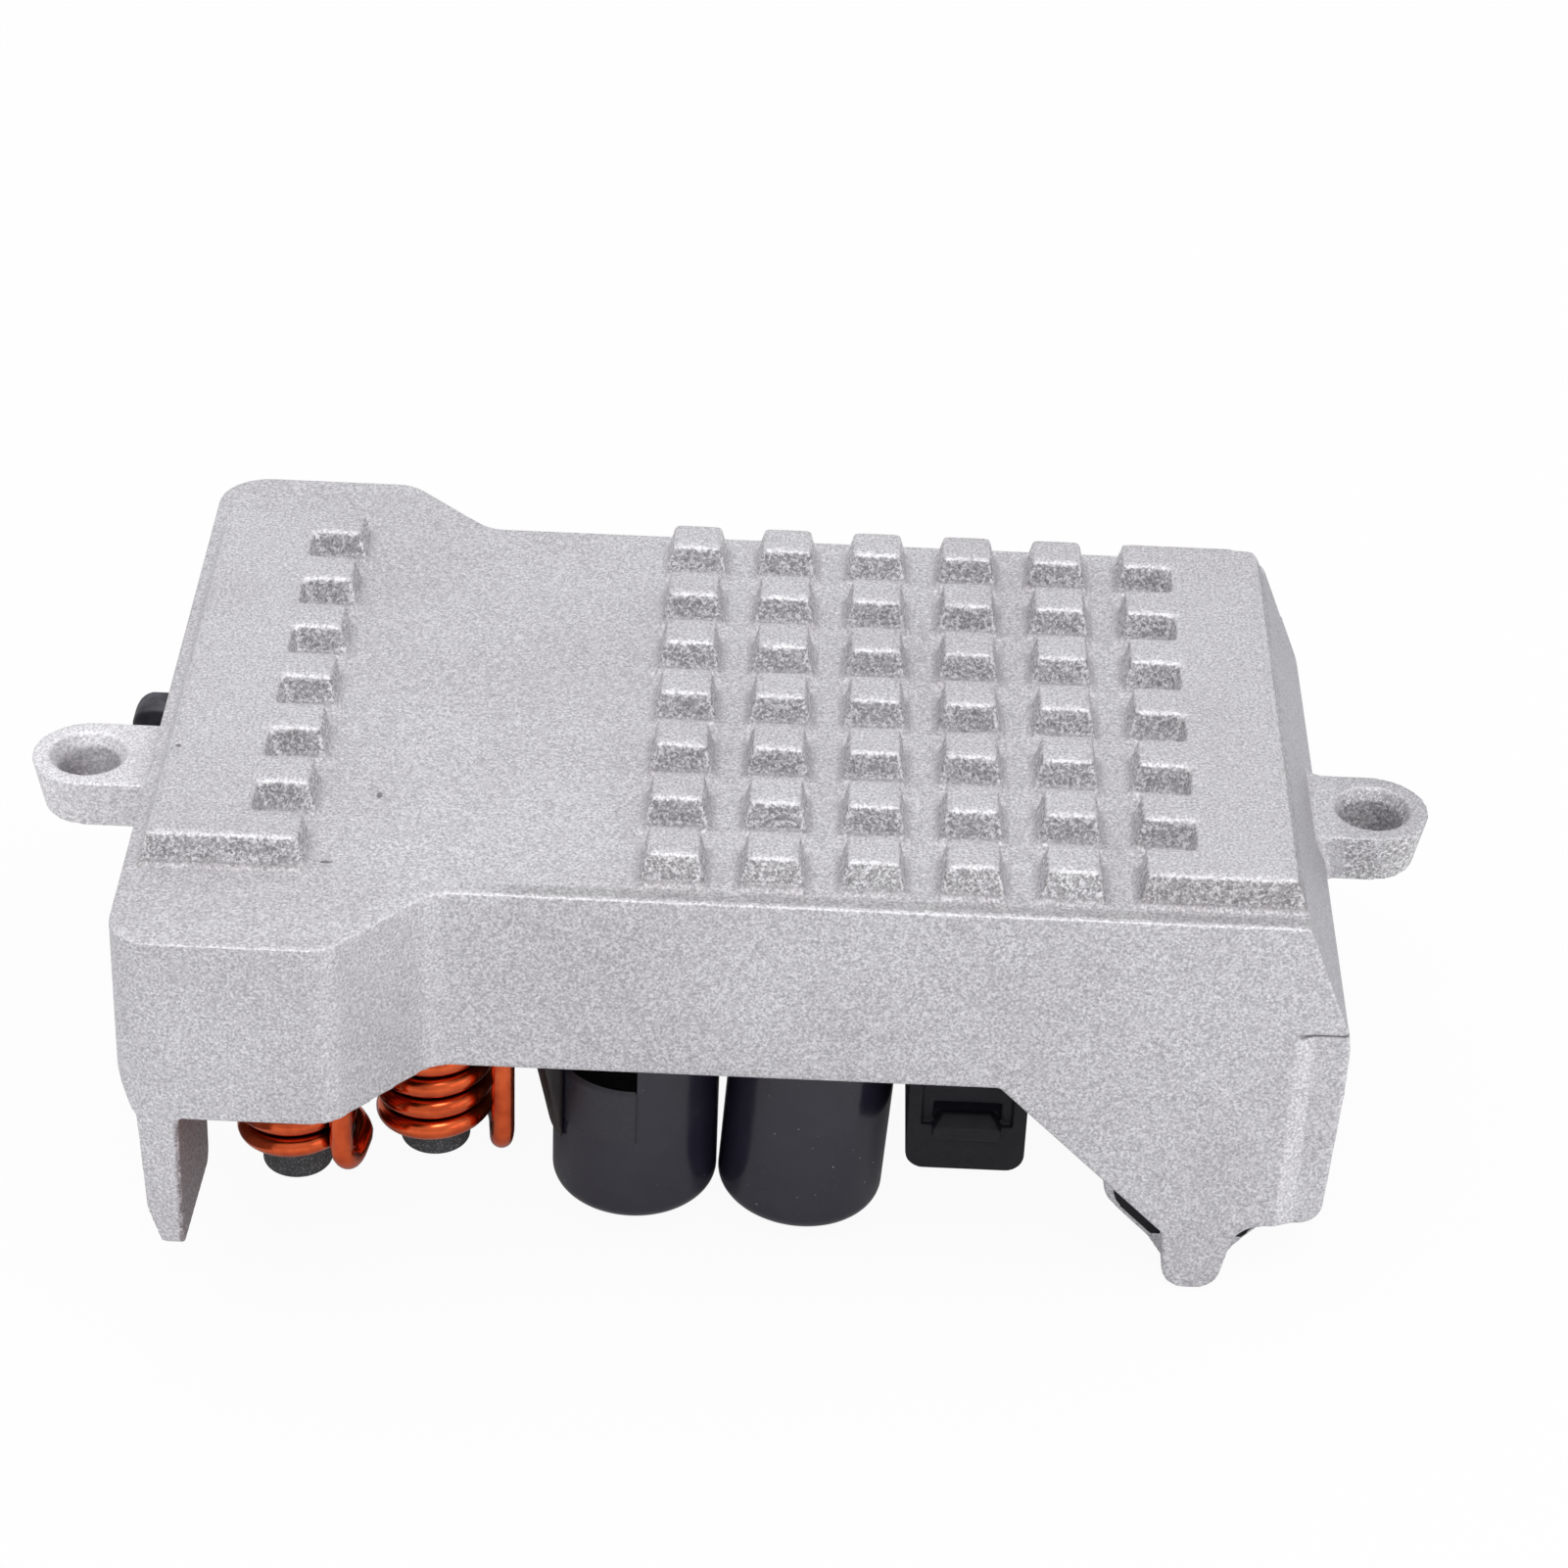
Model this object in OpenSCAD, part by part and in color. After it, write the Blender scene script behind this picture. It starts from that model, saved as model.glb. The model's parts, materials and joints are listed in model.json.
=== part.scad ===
// Blower motor regulator for a vehicle heater: a die-cast heat sink with drafted pins on top,
// a circuit board and a moulded cover under it, two capacitors, two chokes and two plug sockets.
// X runs along the two mounting lugs, Y runs to the back and Z points up to the pins.
// The origin is midway between the lug holes, on the lower face of the lugs.

/* [Heat sink body] */
// Distance from the origin to the left wall
body_left = 59.8; // [58:0.2:61]
// Distance from the origin to the right wall, below its slope
body_right = 64.3; // [63:0.1:66]
// Reach of the wide left part in front of the lug line
wide_front = 46.5; // [45:0.5:50]
// Reach of the wide left part behind the lug line
wide_back = 45; // [43:0.5:49]
// Half depth of the narrow right part
narrow_half = 35.8; // [35.2:0.1:38]
// Where the wide part starts to narrow, left of the origin
shoulder_out = 38.2; // [37:0.2:40]
// Where the narrow part begins, left of the origin
shoulder_in = 28.7; // [27:0.2:30]
// Radius of both bends of the shoulder
shoulder_r = 4.5; // [4:0.1:6]
// Radius of the front left corner
front_corner_r = 4.5; // [4:0.1:6]
// Radius of the back left corner
back_corner_r = 5.5; // [4:0.1:8]
// Radius of the two right corners
right_corner_r = 1.2; // [0.6:0.1:3]
// Thickness of the walls
wall = 3; // [2.5:0.1:3.4]
// Thickness of the plate under the pins
plate_t = 4.5; // [4:0.1:5.5]
// Height of the plate's upper face over the lugs' lower face
plate_top = 15; // [14.4:0.1:16]
// Height of the body from the plate's upper face to the wall's lower edge
skirt_h = 21.5; // [20.5:0.1:23]
// Lean of the right wall's upper part from vertical, in degrees
slope_angle = 22; // [16:0.5:25]
// Height of the right wall's knee over the lugs' lower face
knee_rise = 1.1; // [0:0.1:2]
// Radius of the right wall's knee
knee_r = 12; // [6:1:16]
// Height of the chamfer at the foot of the left wall
foot_chamfer_h = 4.2; // [2:0.1:5]
// Width of the chamfer at the foot of the left wall
foot_chamfer_w = 1.8; // [1:0.1:2.2]

/* [Pins] */
// Distance between neighbouring pins, both ways
pin_pitch = 10; // [9.6:0.1:10.4]
// Rows of pins from front to back
pin_rows = 7; // [5:1:7]
// Columns of free pins
pin_columns = 5; // [3:1:5]
// Centre of the last free column, right of the origin
pin_last_x = 35; // [34:0.1:36]
// Columns left bare between the left comb and the free pins
bare_columns = 3; // [1:1:3]
// Width of a pin's top along X
pin_w = 5.2; // [4.6:0.1:5.6]
// Length of a pin's top along Y
pin_l = 4.85; // [4.4:0.05:5.4]
// Height of the pins over the plate
pin_h = 3.6; // [3:0.1:4.5]
// Draft of the pins' sides, in degrees
pin_draft = 12; // [8:0.5:13]
// Rounding of the pins' upper edges
pin_round = 0.3; // [0.2:0.05:0.7]
// Fillet at the pins' feet
pin_fillet = 1; // [0.5:0.05:1.2]
// Distance of the left plateau's edge from the left wall
plateau_inset = 2.4; // [2.2:0.1:4]

/* [Lugs] */
// Distance between the two lug holes
lug_pitch = 137.8; // [136:0.2:142]
// Radius of a lug at its upper face
lug_r = 6.05; // [5.6:0.05:6.4]
// Draft of a lug's side, in degrees
lug_draft = 11; // [5:0.5:12]
// Thickness of a lug
lug_t = 6; // [5:0.1:6.5]
// Diameter of the lug holes
lug_hole_d = 6.6; // [5.5:0.1:7]
// Diameter of the flared mouth of the lug holes
lug_mouth_d = 8.4; // [7.4:0.1:8.8]
// Depth of the flared mouth
lug_mouth_h = 1.4; // [0.8:0.1:2]
// Radius of the fillets between a lug's upper face and the wall
lug_fillet = 2; // [1:0.1:2.4]

/* [Legs] */
// Depth of the front left leg's foot below the lugs' lower face, at its back
leg_foot = 25.8; // [23:0.1:28]
// Rise of that foot from its back to its front
leg_foot_rise = 2.9; // [1:0.1:4]
// Thickness of the front left leg
leg_t = 4.3; // [3.6:0.1:5]
// Distance of the front left leg from the left wall's outer face
leg_inset = 2.2; // [2:0.1:3]
// Length of the front left leg from the front face to the back
leg_l = 18; // [14:0.5:19]
// Where the right flange's slanted edge starts, right of the origin
flange_start = 29; // [28.6:0.1:30]
// Depth of the right flange's foot below the lugs' lower face
flange_foot = 23.2; // [21.6:0.1:25]
// Length of the right flange's return along the right wall
return_l = 16; // [12:0.5:20]
// Centre of the tongue, right of the origin
tongue_x = 51; // [50.4:0.1:51.6]
// Width of the tongue at its root
tongue_w = 7.8; // [7:0.1:8.6]
// Depth of the tongue's tip below the lugs' lower face
tongue_tip = 31.8; // [30:0.1:34]
// Gap between the right flange and the web behind it
web_gap = 1.5; // [1.4:0.1:2]
// Thickness of the web behind the right flange
web_t = 2.5; // [2:0.1:3]
// Depth of the recess in the right flange's corner
pad_depth = 0.8; // [0.4:0.1:1.2]
// Width of the recess floor in the right flange's corner
pad_w = 3.65; // [3:0.05:4.5]
// Width of the bevel beside that recess
pad_bevel = 2.1; // [1.2:0.1:2.4]

/* [Board and cover] */
// Thickness of the circuit board
board_t = 1.6; // [1:0.1:2]
// Distance from the plate's lower face to the board
board_drop = 6.3; // [5.8:0.1:6.6]
// Clear margin between the board and the walls
board_gap = 1; // [0.6:0.1:1.2]
// Thickness of the moulded cover
cover_t = 2; // [1.6:0.1:2.4]
// Depth of the cover inside the wall's lower edge
cover_recess = 1; // [0.6:0.1:2]
// Running clearance between parts that fit into each other
fit = 0.3; // [0.2:0.05:0.4]
// Diameter of the cover screws' shanks
screw_d = 3; // [2.6:0.1:3.4]
// Diameter of the cover screws' heads
screw_head_d = 5.6; // [5.2:0.1:6.2]
// Height of the cover screws' heads
screw_head_h = 2; // [1.6:0.1:2.4]
// Length of the cover screws' shanks
screw_l = 14; // [12:0.5:15]

/* [Capacitors] */
// Diameter of a capacitor in its sleeve
cap_d = 17.5; // [15.5:0.1:18]
// Length of a capacitor
cap_l = 31.6; // [28:0.1:36]
// Centre of the first capacitor, left of the origin
cap_left = 8.5; // [8.2:0.1:9.4]
// Lean of the second capacitor toward the first, in degrees
cap_lean = 3.2; // [0:0.2:4]
// Clear gap between the free ends of the two capacitors
cap_end_gap = 0.1; // [0.05:0.05:1]
// Rounding of a capacitor's free end
cap_round = 1.8; // [1:0.1:2.4]
// Distance between a capacitor's two leads
cap_lead_pitch = 7.5; // [5:0.5:7.5]
// Diameter of a capacitor's leads
cap_lead_d = 0.8; // [0.6:0.1:1]
// Depth of the cut-out in the first capacitor's sleeve
sleeve_t = 0.5; // [0.3:0.1:0.8]
// Distance of that cut-out from the capacitor's upper end
sleeve_cut_drop = 8.4; // [7:0.1:9]
// Height of that cut-out
sleeve_cut_h = 6.2; // [5:0.1:8]
// Angle that the cut-out takes up, in degrees
sleeve_cut_angle = 56; // [30:1:90]

/* [Chokes] */
// Diameter of a choke's core
core_d = 7.3; // [6.6:0.1:7.8]
// Length of a choke's core
core_l = 25.7; // [24:0.1:28]
// Diameter of the winding wire
wire_d = 2.4; // [2:0.1:2.4]
// Distance between neighbouring turns
turn_pitch = 2.75; // [2.5:0.05:2.9]
// Clearance between a winding and its core
winding_gap = 0.2; // [0.15:0.05:0.3]
// Turns of a winding
turns = 6.5; // [5.5:1:6.5]
// Centre of the left choke, left of the origin
choke_1_left = 43.5; // [43:0.1:44.4]
// Distance of the left choke's centre from the wide part's front face
choke_1_setback = 15.4; // [14:0.1:17]
// Centre of the right choke, left of the origin
choke_2_left = 29.5; // [29:0.1:30.4]
// Height of the left winding's lowest point over its core's lower end
show_1 = 3.5; // [2.6:0.1:4.5]
// Height of the right winding's lowest point over its core's lower end
show_2 = 2.7; // [2:0.1:4.5]
// How far a winding stands off its core where it leaves for its rising end
swell = 1.8; // [0.6:0.1:2]

/* [Sockets] */
// Width of the front socket along X
front_socket_w = 12.4; // [11.6:0.1:12.8]
// Depth of the front socket along Y
front_socket_l = 13; // [11:0.5:15]
// Gap between the second capacitor and the front socket
socket_gap = 0.4; // [0.3:0.1:0.8]
// Depth of the front socket's mouth below the lugs' lower face
front_socket_foot = 20; // [18:0.1:22]
// Width of the side socket along Y
side_socket_w = 11.5; // [11:0.5:13]
// Reach of the side socket beyond the left wall
side_socket_reach = 6.8; // [6:0.1:8]
// Length of the side socket along X
side_socket_l = 14; // [13:0.5:15]
// Nearest point of the side socket behind the lug line
side_socket_y = 6.5; // [6.5:0.1:8]
// Depth of the side socket's mouth below the lugs' lower face
side_socket_foot = 14; // [12:0.2:17]
// Drop of the side socket's outer part in front of its raised rib
side_socket_drop = 3.4; // [2:0.1:3.6]
// Depth of that raised rib along Y
side_rib_l = 3.9; // [3:0.1:5]
// How far that rib stands proud of the socket's outer face
side_rib_proud = 0.8; // [0.2:0.1:1.2]
// Thickness of the sockets' walls
socket_wall = 1.5; // [1.2:0.1:1.8]
// Outer rounding of the sockets' edges
socket_round = 2; // [1.6:0.1:2.6]

/* [Power parts] */
// Width of a power transistor
transistor_w = 10; // [9:0.1:10.6]
// Length of a power transistor with its tab
transistor_l = 15.6; // [14:0.1:16.5]
// Thickness of a power transistor
transistor_t = 4.5; // [4.2:0.1:4.8]
// Thickness of a power transistor's tab
tab_t = 1.3; // [1:0.1:1.4]
// Distance between neighbouring power parts
transistor_pitch = 15; // [13:0.5:16]
// Centre of the first power part, right of the origin
transistor_x = 5; // [4:0.5:7]
// Thickness of an insulating pad
pad_t = 0.25; // [0.2:0.05:0.4]
// Diameter of the tab screws
tab_screw_d = 3; // [2.5:0.1:3.2]

/* [Hidden] */
$fn = 64;

arc_steps = 6;          // straight steps in a large round corner
edge_steps = 3;         // straight steps in a small rounded edge
overlap = 1;            // how far fused shapes reach into each other
press = 0.05;           // room on each side of what is pressed in
slip = 0.2;             // room on each side of what passes through
pin_top = plate_top + pin_h;
ceiling = plate_top - plate_t;
skirt_bottom = plate_top - skirt_h;
board_top = ceiling - board_drop;
board_bottom = board_top - board_t;
cover_bottom = skirt_bottom + cover_recess;
cover_top = cover_bottom + cover_t;
slope_run = tan(slope_angle);

// Lines that the front parts sit behind
front_inner = -narrow_half + wall;
cap_gap = 0.45;
cap_y = front_inner + cap_gap + cap_d / 2;
cap_r = cap_d / 2;
cap_leans = [0, cap_lean];
cap_2_x = -cap_left + cap_r + cap_end_gap + cap_l * sin(cap_lean) + cap_r * cos(cap_lean);
cap_spots = [[-cap_left, cap_y], [cap_2_x, cap_y]];
coil_r = (core_d + wire_d) / 2 + winding_gap;
coil_outer = coil_r + wire_d / 2;
choke_1 = [-choke_1_left, -wide_front + choke_1_setback];
choke_2 = [-choke_2_left, front_inner + fit + coil_outer];
core_bottom = board_bottom - core_l;
// Rising ends of the two windings, beside and in front of their chokes
lead_1 = choke_1 + [coil_r + 0.2, -5.5];
lead_2 = choke_2 + [7.5, -4.7];

// Pin field
row_span = (pin_rows - 1) * pin_pitch / 2;
row_reach = row_span + pin_l / 2;
pin_first_x = pin_last_x - (pin_columns - 1) * pin_pitch;
comb_left_x = pin_first_x - (bare_columns + 1) * pin_pitch;
comb_right_x = pin_last_x + pin_pitch;

// Corners of the body's plan, each [x, y, radius], anticlockwise from the front left
plan_corners = [
    [-body_left, -wide_front, front_corner_r],
    [-shoulder_out, -wide_front, shoulder_r],
    [-shoulder_in, -narrow_half, shoulder_r],
    [body_right, -narrow_half, right_corner_r],
    [body_right, narrow_half, right_corner_r],
    [-shoulder_in, narrow_half, shoulder_r],
    [-shoulder_out, wide_back, shoulder_r],
    [-body_left, wide_back, back_corner_r]
];

// Corners of the tongue's sides, shared by the flange, the web and the filled core
tongue_left = tongue_x - tongue_w / 2;
tongue_right = tongue_x + tongue_w / 2;
tip_left = tongue_left + 0.6;
tip_right = tongue_right - 1.7;
tip_r = 2.6;
fill_left = tongue_left + 0.6;
fill_right = tongue_right - 0.4;

// Outline of the right flange, seen from the front
flange_corners = [
    [flange_start - overlap, skirt_bottom + overlap, 0],
    [tongue_left, skirt_bottom - (tongue_left - flange_start), 0],
    [tip_left, -tongue_tip, tip_r],
    [tip_right, -tongue_tip, tip_r],
    [tongue_right, -flange_foot, 3.2],
    [body_right - 0.8, -flange_foot, 2.6],
    [body_right, skirt_bottom + overlap, 0]
];

// Outline of the web behind the flange, wider than the tongue at its foot
web_top = cover_bottom - screw_head_h;
web_y = front_inner + web_gap;
web_corners = [
    [tongue_left - 6.9, web_top, 0],
    [tongue_left - 6, -flange_foot - 0.3, 4],
    [tongue_left - 0.9, -flange_foot - 5.6, 2.5],
    [tip_left + 0.4, -tongue_tip, 1],
    [tip_right + 0.9, -tongue_tip, 1],
    [tongue_right + 0.4, -tongue_tip + 2.2, 1.5],
    [tongue_right + 6, -flange_foot, 0.6],
    [body_right - right_corner_r, -flange_foot, 0.6],
    [body_right - right_corner_r, web_top, 0]
];

// Cover screws, as [x, y]
screw_spots = [
    [-body_left + 9.6, wide_back - 9],
    [body_right - 10, narrow_half - 9.8],
    [tongue_left - 6, front_inner + 9],
    [-body_left + 9.6, -14]
];
boss_r = 3.4;

// Sockets
front_socket_x = cap_2_x + cap_r * cos(cap_lean) + socket_gap;
front_socket_y = front_inner + fit + slip;
side_socket_x = -body_left - side_socket_reach;
terminal_t = 0.8;

function xy(c) = [c[0], c[1]];
function unit(v) = v / norm(v);

// Points of the arc that rounds the corner p between its neighbours a and b
function corner_arc(a, p, b, r, steps) =
    let (
        u = unit(a - p),
        w = unit(b - p),
        half = acos(u * w) / 2,
        centre = p + unit(u + w) * r / sin(half),
        start = p + u * r / tan(half) - centre,
        stop = p + w * r / tan(half) - centre,
        sweep = atan2(cross(start, stop), start * stop)
    )
    [for (i = [0 : steps])
        let (turn = sweep * i / steps)
        centre + [start.x * cos(turn) - start.y * sin(turn), start.x * sin(turn) + start.y * cos(turn)]
    ];

// Points of a closed outline whose corners are given as [x, y, radius]
function rounded(corners, steps = arc_steps) =
    let (n = len(corners))
    [for (i = [0 : n - 1])
        let (c = corners[i], before = corners[(i + n - 1) % n], after = corners[(i + 1) % n])
        each (c[2] > 0 ? corner_arc(xy(before), xy(c), xy(after), c[2], steps) : [xy(c)])
    ];

// The same corners moved inwards by d, with each radius kept concentric
function inset(corners, d) =
    let (n = len(corners))
    [for (i = [0 : n - 1])
        let (
            p = xy(corners[i]),
            e0 = unit(p - xy(corners[(i + n - 1) % n])),
            e1 = unit(xy(corners[(i + 1) % n]) - p),
            n0 = [-e0.y, e0.x],
            n1 = [-e1.y, e1.x],
            q = p + d * (n0 + n1) / (1 + n0 * n1)
        )
        [q.x, q.y, max(corners[i][2] - sign(cross(e0, e1)) * d, 0.3)]
    ];

// A profile drawn as [x, z], carried from y0 to y1
module along_y(y0, y1) {
    translate([0, y1, 0]) rotate([90, 0, 0]) linear_extrude(y1 - y0) children();
}

// A profile drawn as [y, z], carried from x0 to x1
module along_x(x0, x1) {
    translate([x0, 0, 0]) rotate([90, 0, 90]) linear_extrude(x1 - x0) children();
}

module between_z(z0, z1) {
    translate([0, 0, z0]) linear_extrude(z1 - z0) children();
}

module plan(d = 0) {
    polygon(rounded(inset(plan_corners, d)));
}

// Section of a drafted ridge whose top spans lo to hi, with rounded edges and filleted feet
module ridge(lo, hi) {
    run = pin_h * tan(pin_draft);
    foot = run + 2 * pin_fillet;
    polygon(rounded([
        [lo - foot, plate_top - overlap, 0],
        [hi + foot, plate_top - overlap, 0],
        [hi + foot, plate_top, 0],
        [hi + run, plate_top, pin_fillet],
        [hi, pin_top, pin_round],
        [lo, pin_top, pin_round],
        [lo - run, plate_top, pin_fillet],
        [lo - foot, plate_top, 0]
    ], edge_steps));
}

module row_ridges(x0, x1) {
    for (row = [0 : pin_rows - 1]) {
        y = -row_span + row * pin_pitch;
        along_x(x0, x1) ridge(y - pin_l / 2, y + pin_l / 2);
    }
}

module free_pins() {
    intersection() {
        for (column = [0 : pin_columns - 1]) {
            x = pin_first_x + column * pin_pitch;
            along_y(-narrow_half, narrow_half) ridge(x - pin_w / 2, x + pin_w / 2);
        }
        row_ridges(pin_first_x - pin_pitch / 2, pin_last_x + pin_pitch / 2);
    }
}

// A raised plateau from outer to inner, with teeth that reach on to tip
module comb(outer, inner, tip) {
    reach = [min(outer, tip) - pin_pitch, max(outer, tip) + pin_pitch];
    intersection() {
        along_y(-narrow_half, narrow_half) ridge(min(outer, inner), max(outer, inner));
        along_x(reach[0], reach[1]) ridge(-row_reach, row_reach);
    }
    intersection() {
        along_y(-narrow_half, narrow_half) ridge(min(outer, tip), max(outer, tip));
        row_ridges(reach[0], reach[1]);
    }
}

// Side view of the outer body: chamfered left foot, sloped right wall
module side_profile() {
    polygon(rounded([
        [-body_left + foot_chamfer_w, skirt_bottom, 0],
        [body_right, skirt_bottom, 0],
        [body_right, knee_rise, knee_r],
        [body_right - (pin_top - knee_rise) * slope_run, pin_top, 0],
        [-body_left, pin_top, 0],
        [-body_left, skirt_bottom + foot_chamfer_h, 0]
    ]));
}

// Side view of the hollow, parallel to the right wall
module hollow_profile() {
    inner_right = body_right - wall;
    polygon([
        [-body_left, skirt_bottom - overlap],
        [inner_right, skirt_bottom - overlap],
        [inner_right, knee_rise],
        [inner_right - (ceiling - knee_rise) * slope_run, ceiling],
        [-body_left, ceiling]
    ]);
}

module outer_body() {
    depth = max(wide_front, wide_back);
    intersection() {
        along_y(-depth, depth) side_profile();
        union() {
            between_z(skirt_bottom, plate_top) plan();
            free_pins();
            comb(-body_left + plateau_inset, comb_left_x - pin_w / 2, comb_left_x + pin_w / 2);
            comb(body_right + wall, comb_right_x + pin_w / 2, comb_right_x - pin_w / 2);
        }
    }
}

module hollow() {
    depth = max(wide_front, wide_back);
    intersection() {
        along_y(-depth, depth) hollow_profile();
        between_z(skirt_bottom - overlap, ceiling) plan(wall);
    }
}

// One lug: a drafted bar with a round end, toward side 1 or -1
module lug(side) {
    foot_r = lug_r - lug_t * tan(lug_draft);
    hole_x = side * lug_pitch / 2;
    root = side > 0 ? body_right - wall : -body_left + wall;
    translate([hole_x, 0, 0]) cylinder(h = lug_t, r1 = foot_r, r2 = lug_r);
    along_x(min(hole_x, root), max(hole_x, root))
        polygon([[-foot_r, 0], [foot_r, 0], [lug_r, lug_t], [-lug_r, lug_t]]);
    lug_fillets(side, root);
}

// Drafted fillets on both sides of a lug, tangent to its upper edges and to the wall at that height
module lug_fillets(side, root) {
    wall_x = side > 0 ? body_right - (lug_t - knee_rise) * slope_run : -body_left;
    end_x = wall_x + side * lug_fillet;
    half = lug_r + lug_fillet;
    difference() {
        translate([min(root, end_x), -half, 0]) cube([abs(end_x - root), 2 * half, lug_t]);
        for (y = [-half, half]) translate([end_x, y, 0])
            cylinder(h = lug_t, r1 = lug_fillet + lug_t * tan(lug_draft), r2 = lug_fillet);
    }
}

module lug_bore(side) {
    translate([side * lug_pitch / 2, 0, 0]) {
        translate([0, 0, -overlap]) cylinder(h = lug_t + 2 * overlap, d = lug_hole_d);
        translate([0, 0, lug_t - lug_mouth_h])
            cylinder(h = lug_mouth_h, d1 = lug_hole_d, d2 = lug_mouth_d);
    }
}

// Front left leg: a thick rib along Y, flush with the front face, tapering to its foot
leg_x = -body_left + leg_inset;
module left_leg() {
    intersection() {
        between_z(-leg_foot, plate_top) plan();
        along_x(leg_x - overlap, leg_x + leg_t) polygon(rounded([
            [-wide_front, -leg_foot + leg_foot_rise, 1.4],
            [-wide_front + leg_l, -leg_foot, 1.5],
            [-wide_front + leg_l, ceiling + overlap, 0],
            [-wide_front, ceiling + overlap, 0]
        ]));
        along_y(-wide_front, -wide_front + leg_l) polygon(rounded([
            [leg_x, ceiling + overlap, 0],
            [leg_x, skirt_bottom, 0],
            [leg_x + 0.6, -leg_foot + 7.6, 3],
            [leg_x + 3, -leg_foot, 0.5],
            [leg_x + leg_t, -leg_foot, 0.4],
            [leg_x + leg_t, ceiling + overlap, 0]
        ]));
    }
}

// Right flange: the front wall drawn down to a slanted edge, a tongue and a corner foot
module right_flange() {
    along_y(-narrow_half, front_inner) polygon(rounded(flange_corners));
    intersection() {
        along_x(body_right - wall, body_right) polygon(rounded([
            [-narrow_half, -flange_foot, 1],
            [-narrow_half + return_l, -flange_foot, 3],
            [-narrow_half + return_l, skirt_bottom + overlap, 0],
            [-narrow_half, skirt_bottom + overlap, 0]
        ]));
        along_y(-narrow_half, -narrow_half + return_l) polygon(rounded(flange_corners));
    }
    along_y(web_y, web_y + web_t) polygon(rounded(web_corners));
    along_y(front_inner - overlap, web_y + overlap) polygon(rounded([
        [fill_left, -flange_foot + 3, 0],
        [tip_left + 0.2, -tongue_tip, tip_r],
        [tip_right, -tongue_tip, tip_r],
        [fill_right, -flange_foot + 3, 0]
    ]));
}

// Shallow recess with a bevelled side in the flange's right corner
module pad_recess() {
    floor_x = body_right - pad_w;
    between_z(-flange_foot - overlap, knee_rise + pad_depth) polygon([
        [floor_x - pad_bevel, -narrow_half],
        [floor_x - pad_bevel, -narrow_half - overlap],
        [body_right + overlap, -narrow_half - overlap],
        [body_right + overlap, -narrow_half + pad_depth],
        [floor_x, -narrow_half + pad_depth]
    ]);
}

// Cut in the left wall that the side socket drops into from below
module socket_notch() {
    translate([-body_left - overlap, side_socket_y - fit, skirt_bottom - overlap])
        cube([wall + 2 * overlap, side_socket_w + 2 * fit, board_bottom + fit - skirt_bottom + overlap]);
}

module heat_sink_housing() {
    color("#c4c4c8") difference() {
        union() {
            difference() {
                outer_body();
                hollow();
            }
            for (spot = screw_spots)
                translate([spot.x, spot.y, board_top]) cylinder(h = board_drop + overlap, r = boss_r);
            left_leg();
            right_flange();
            for (side = [-1, 1]) lug(side);
        }
        for (side = [-1, 1]) lug_bore(side);
        for (spot = screw_spots)
            translate([spot.x, spot.y, board_top - overlap])
                cylinder(h = cover_bottom + screw_l - board_top + 2 * overlap, d = screw_d + 2 * press);
        for (x = power_part_x)
            translate([x, tab_hole_y, ceiling - overlap])
                cylinder(h = tab_screw_depth + 2 * overlap, d = tab_screw_d + 2 * press);
        socket_notch();
        pad_recess();
    }
}

// Room that the board and the cover leave around the left leg
module leg_room() {
    translate([-body_left, -wide_front])
        square([leg_inset + leg_t + fit, leg_l + fit]);
}

board_inset = wall + board_gap;
board_right = body_right - board_inset - (board_top - knee_rise) * slope_run;
module board_outline() {
    difference() {
        intersection() {
            plan(board_inset);
            translate([-body_left, -wide_front])
                square([body_left + board_right, wide_front + wide_back]);
        }
        leg_room();
    }
}

module circuit_board() {
    color("#1f4d2e") difference() {
        between_z(board_bottom, board_top) board_outline();
        for (spot = screw_spots)
            translate([spot.x, spot.y, board_bottom - overlap])
                cylinder(h = board_t + 2 * overlap, d = screw_d + 2 * slip);
        for (cap = cap_spots, side = [-1, 1])
            translate([cap.x + side * cap_lead_pitch / 2, cap.y, board_bottom - overlap])
                cylinder(h = board_t + 2 * overlap, d = cap_lead_d + 2 * slip);
        for (spot = concat(wire_ends_1, wire_ends_2))
            translate([spot.x, spot.y, board_bottom - overlap])
                cylinder(h = board_t + 2 * overlap, d = wire_d + 2 * slip);
        for (x = control_pin_x)
            translate([x, control_pin_y, board_bottom + board_t / 2])
                cube([terminal_t + 2 * slip, terminal_t + 2 * slip, board_t + 2 * overlap], center = true);
        for (y = power_blade_y)
            translate([power_blade_x, y, board_bottom + board_t / 2])
                cube([blade_leg_w + 2 * slip, terminal_t + 2 * slip, board_t + 2 * overlap], center = true);
        for (x = power_part_x, lead = [-1, 0, 1])
            translate([x + lead * power_lead_pitch, power_lead_y, board_bottom + board_t / 2])
                cube([power_lead_w + 2 * slip, power_lead_t + 2 * slip, board_t + 2 * overlap],
                     center = true);
    }
}

// Tab that fills the gap between the flange and its web on both sides of the tongue
module cover_tabs() {
    tab_y = front_inner + fit;
    tab_t = web_gap - 2 * fit + 0.1;
    web_rim = 1;
    tab_foot = -flange_foot - 4.1;
    left_end = fill_left - fit;
    right_start = fill_right + fit;
    along_y(tab_y, tab_y + tab_t) intersection() {
        polygon(rounded(inset(web_corners, web_rim)));
        union() {
            translate([left_end - 20, tab_foot]) square([20, skirt_bottom - tab_foot]);
            translate([right_start, tab_foot])
                square([body_right - wall - fit - right_start, skirt_bottom - tab_foot]);
        }
    }
    along_y(tab_y, tab_y + tab_t) translate([tongue_left - 5.6, web_top - 2])
        square([body_right - wall - fit - tongue_left + 5.6, cover_bottom - web_top + 2 + overlap]);
}

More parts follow.
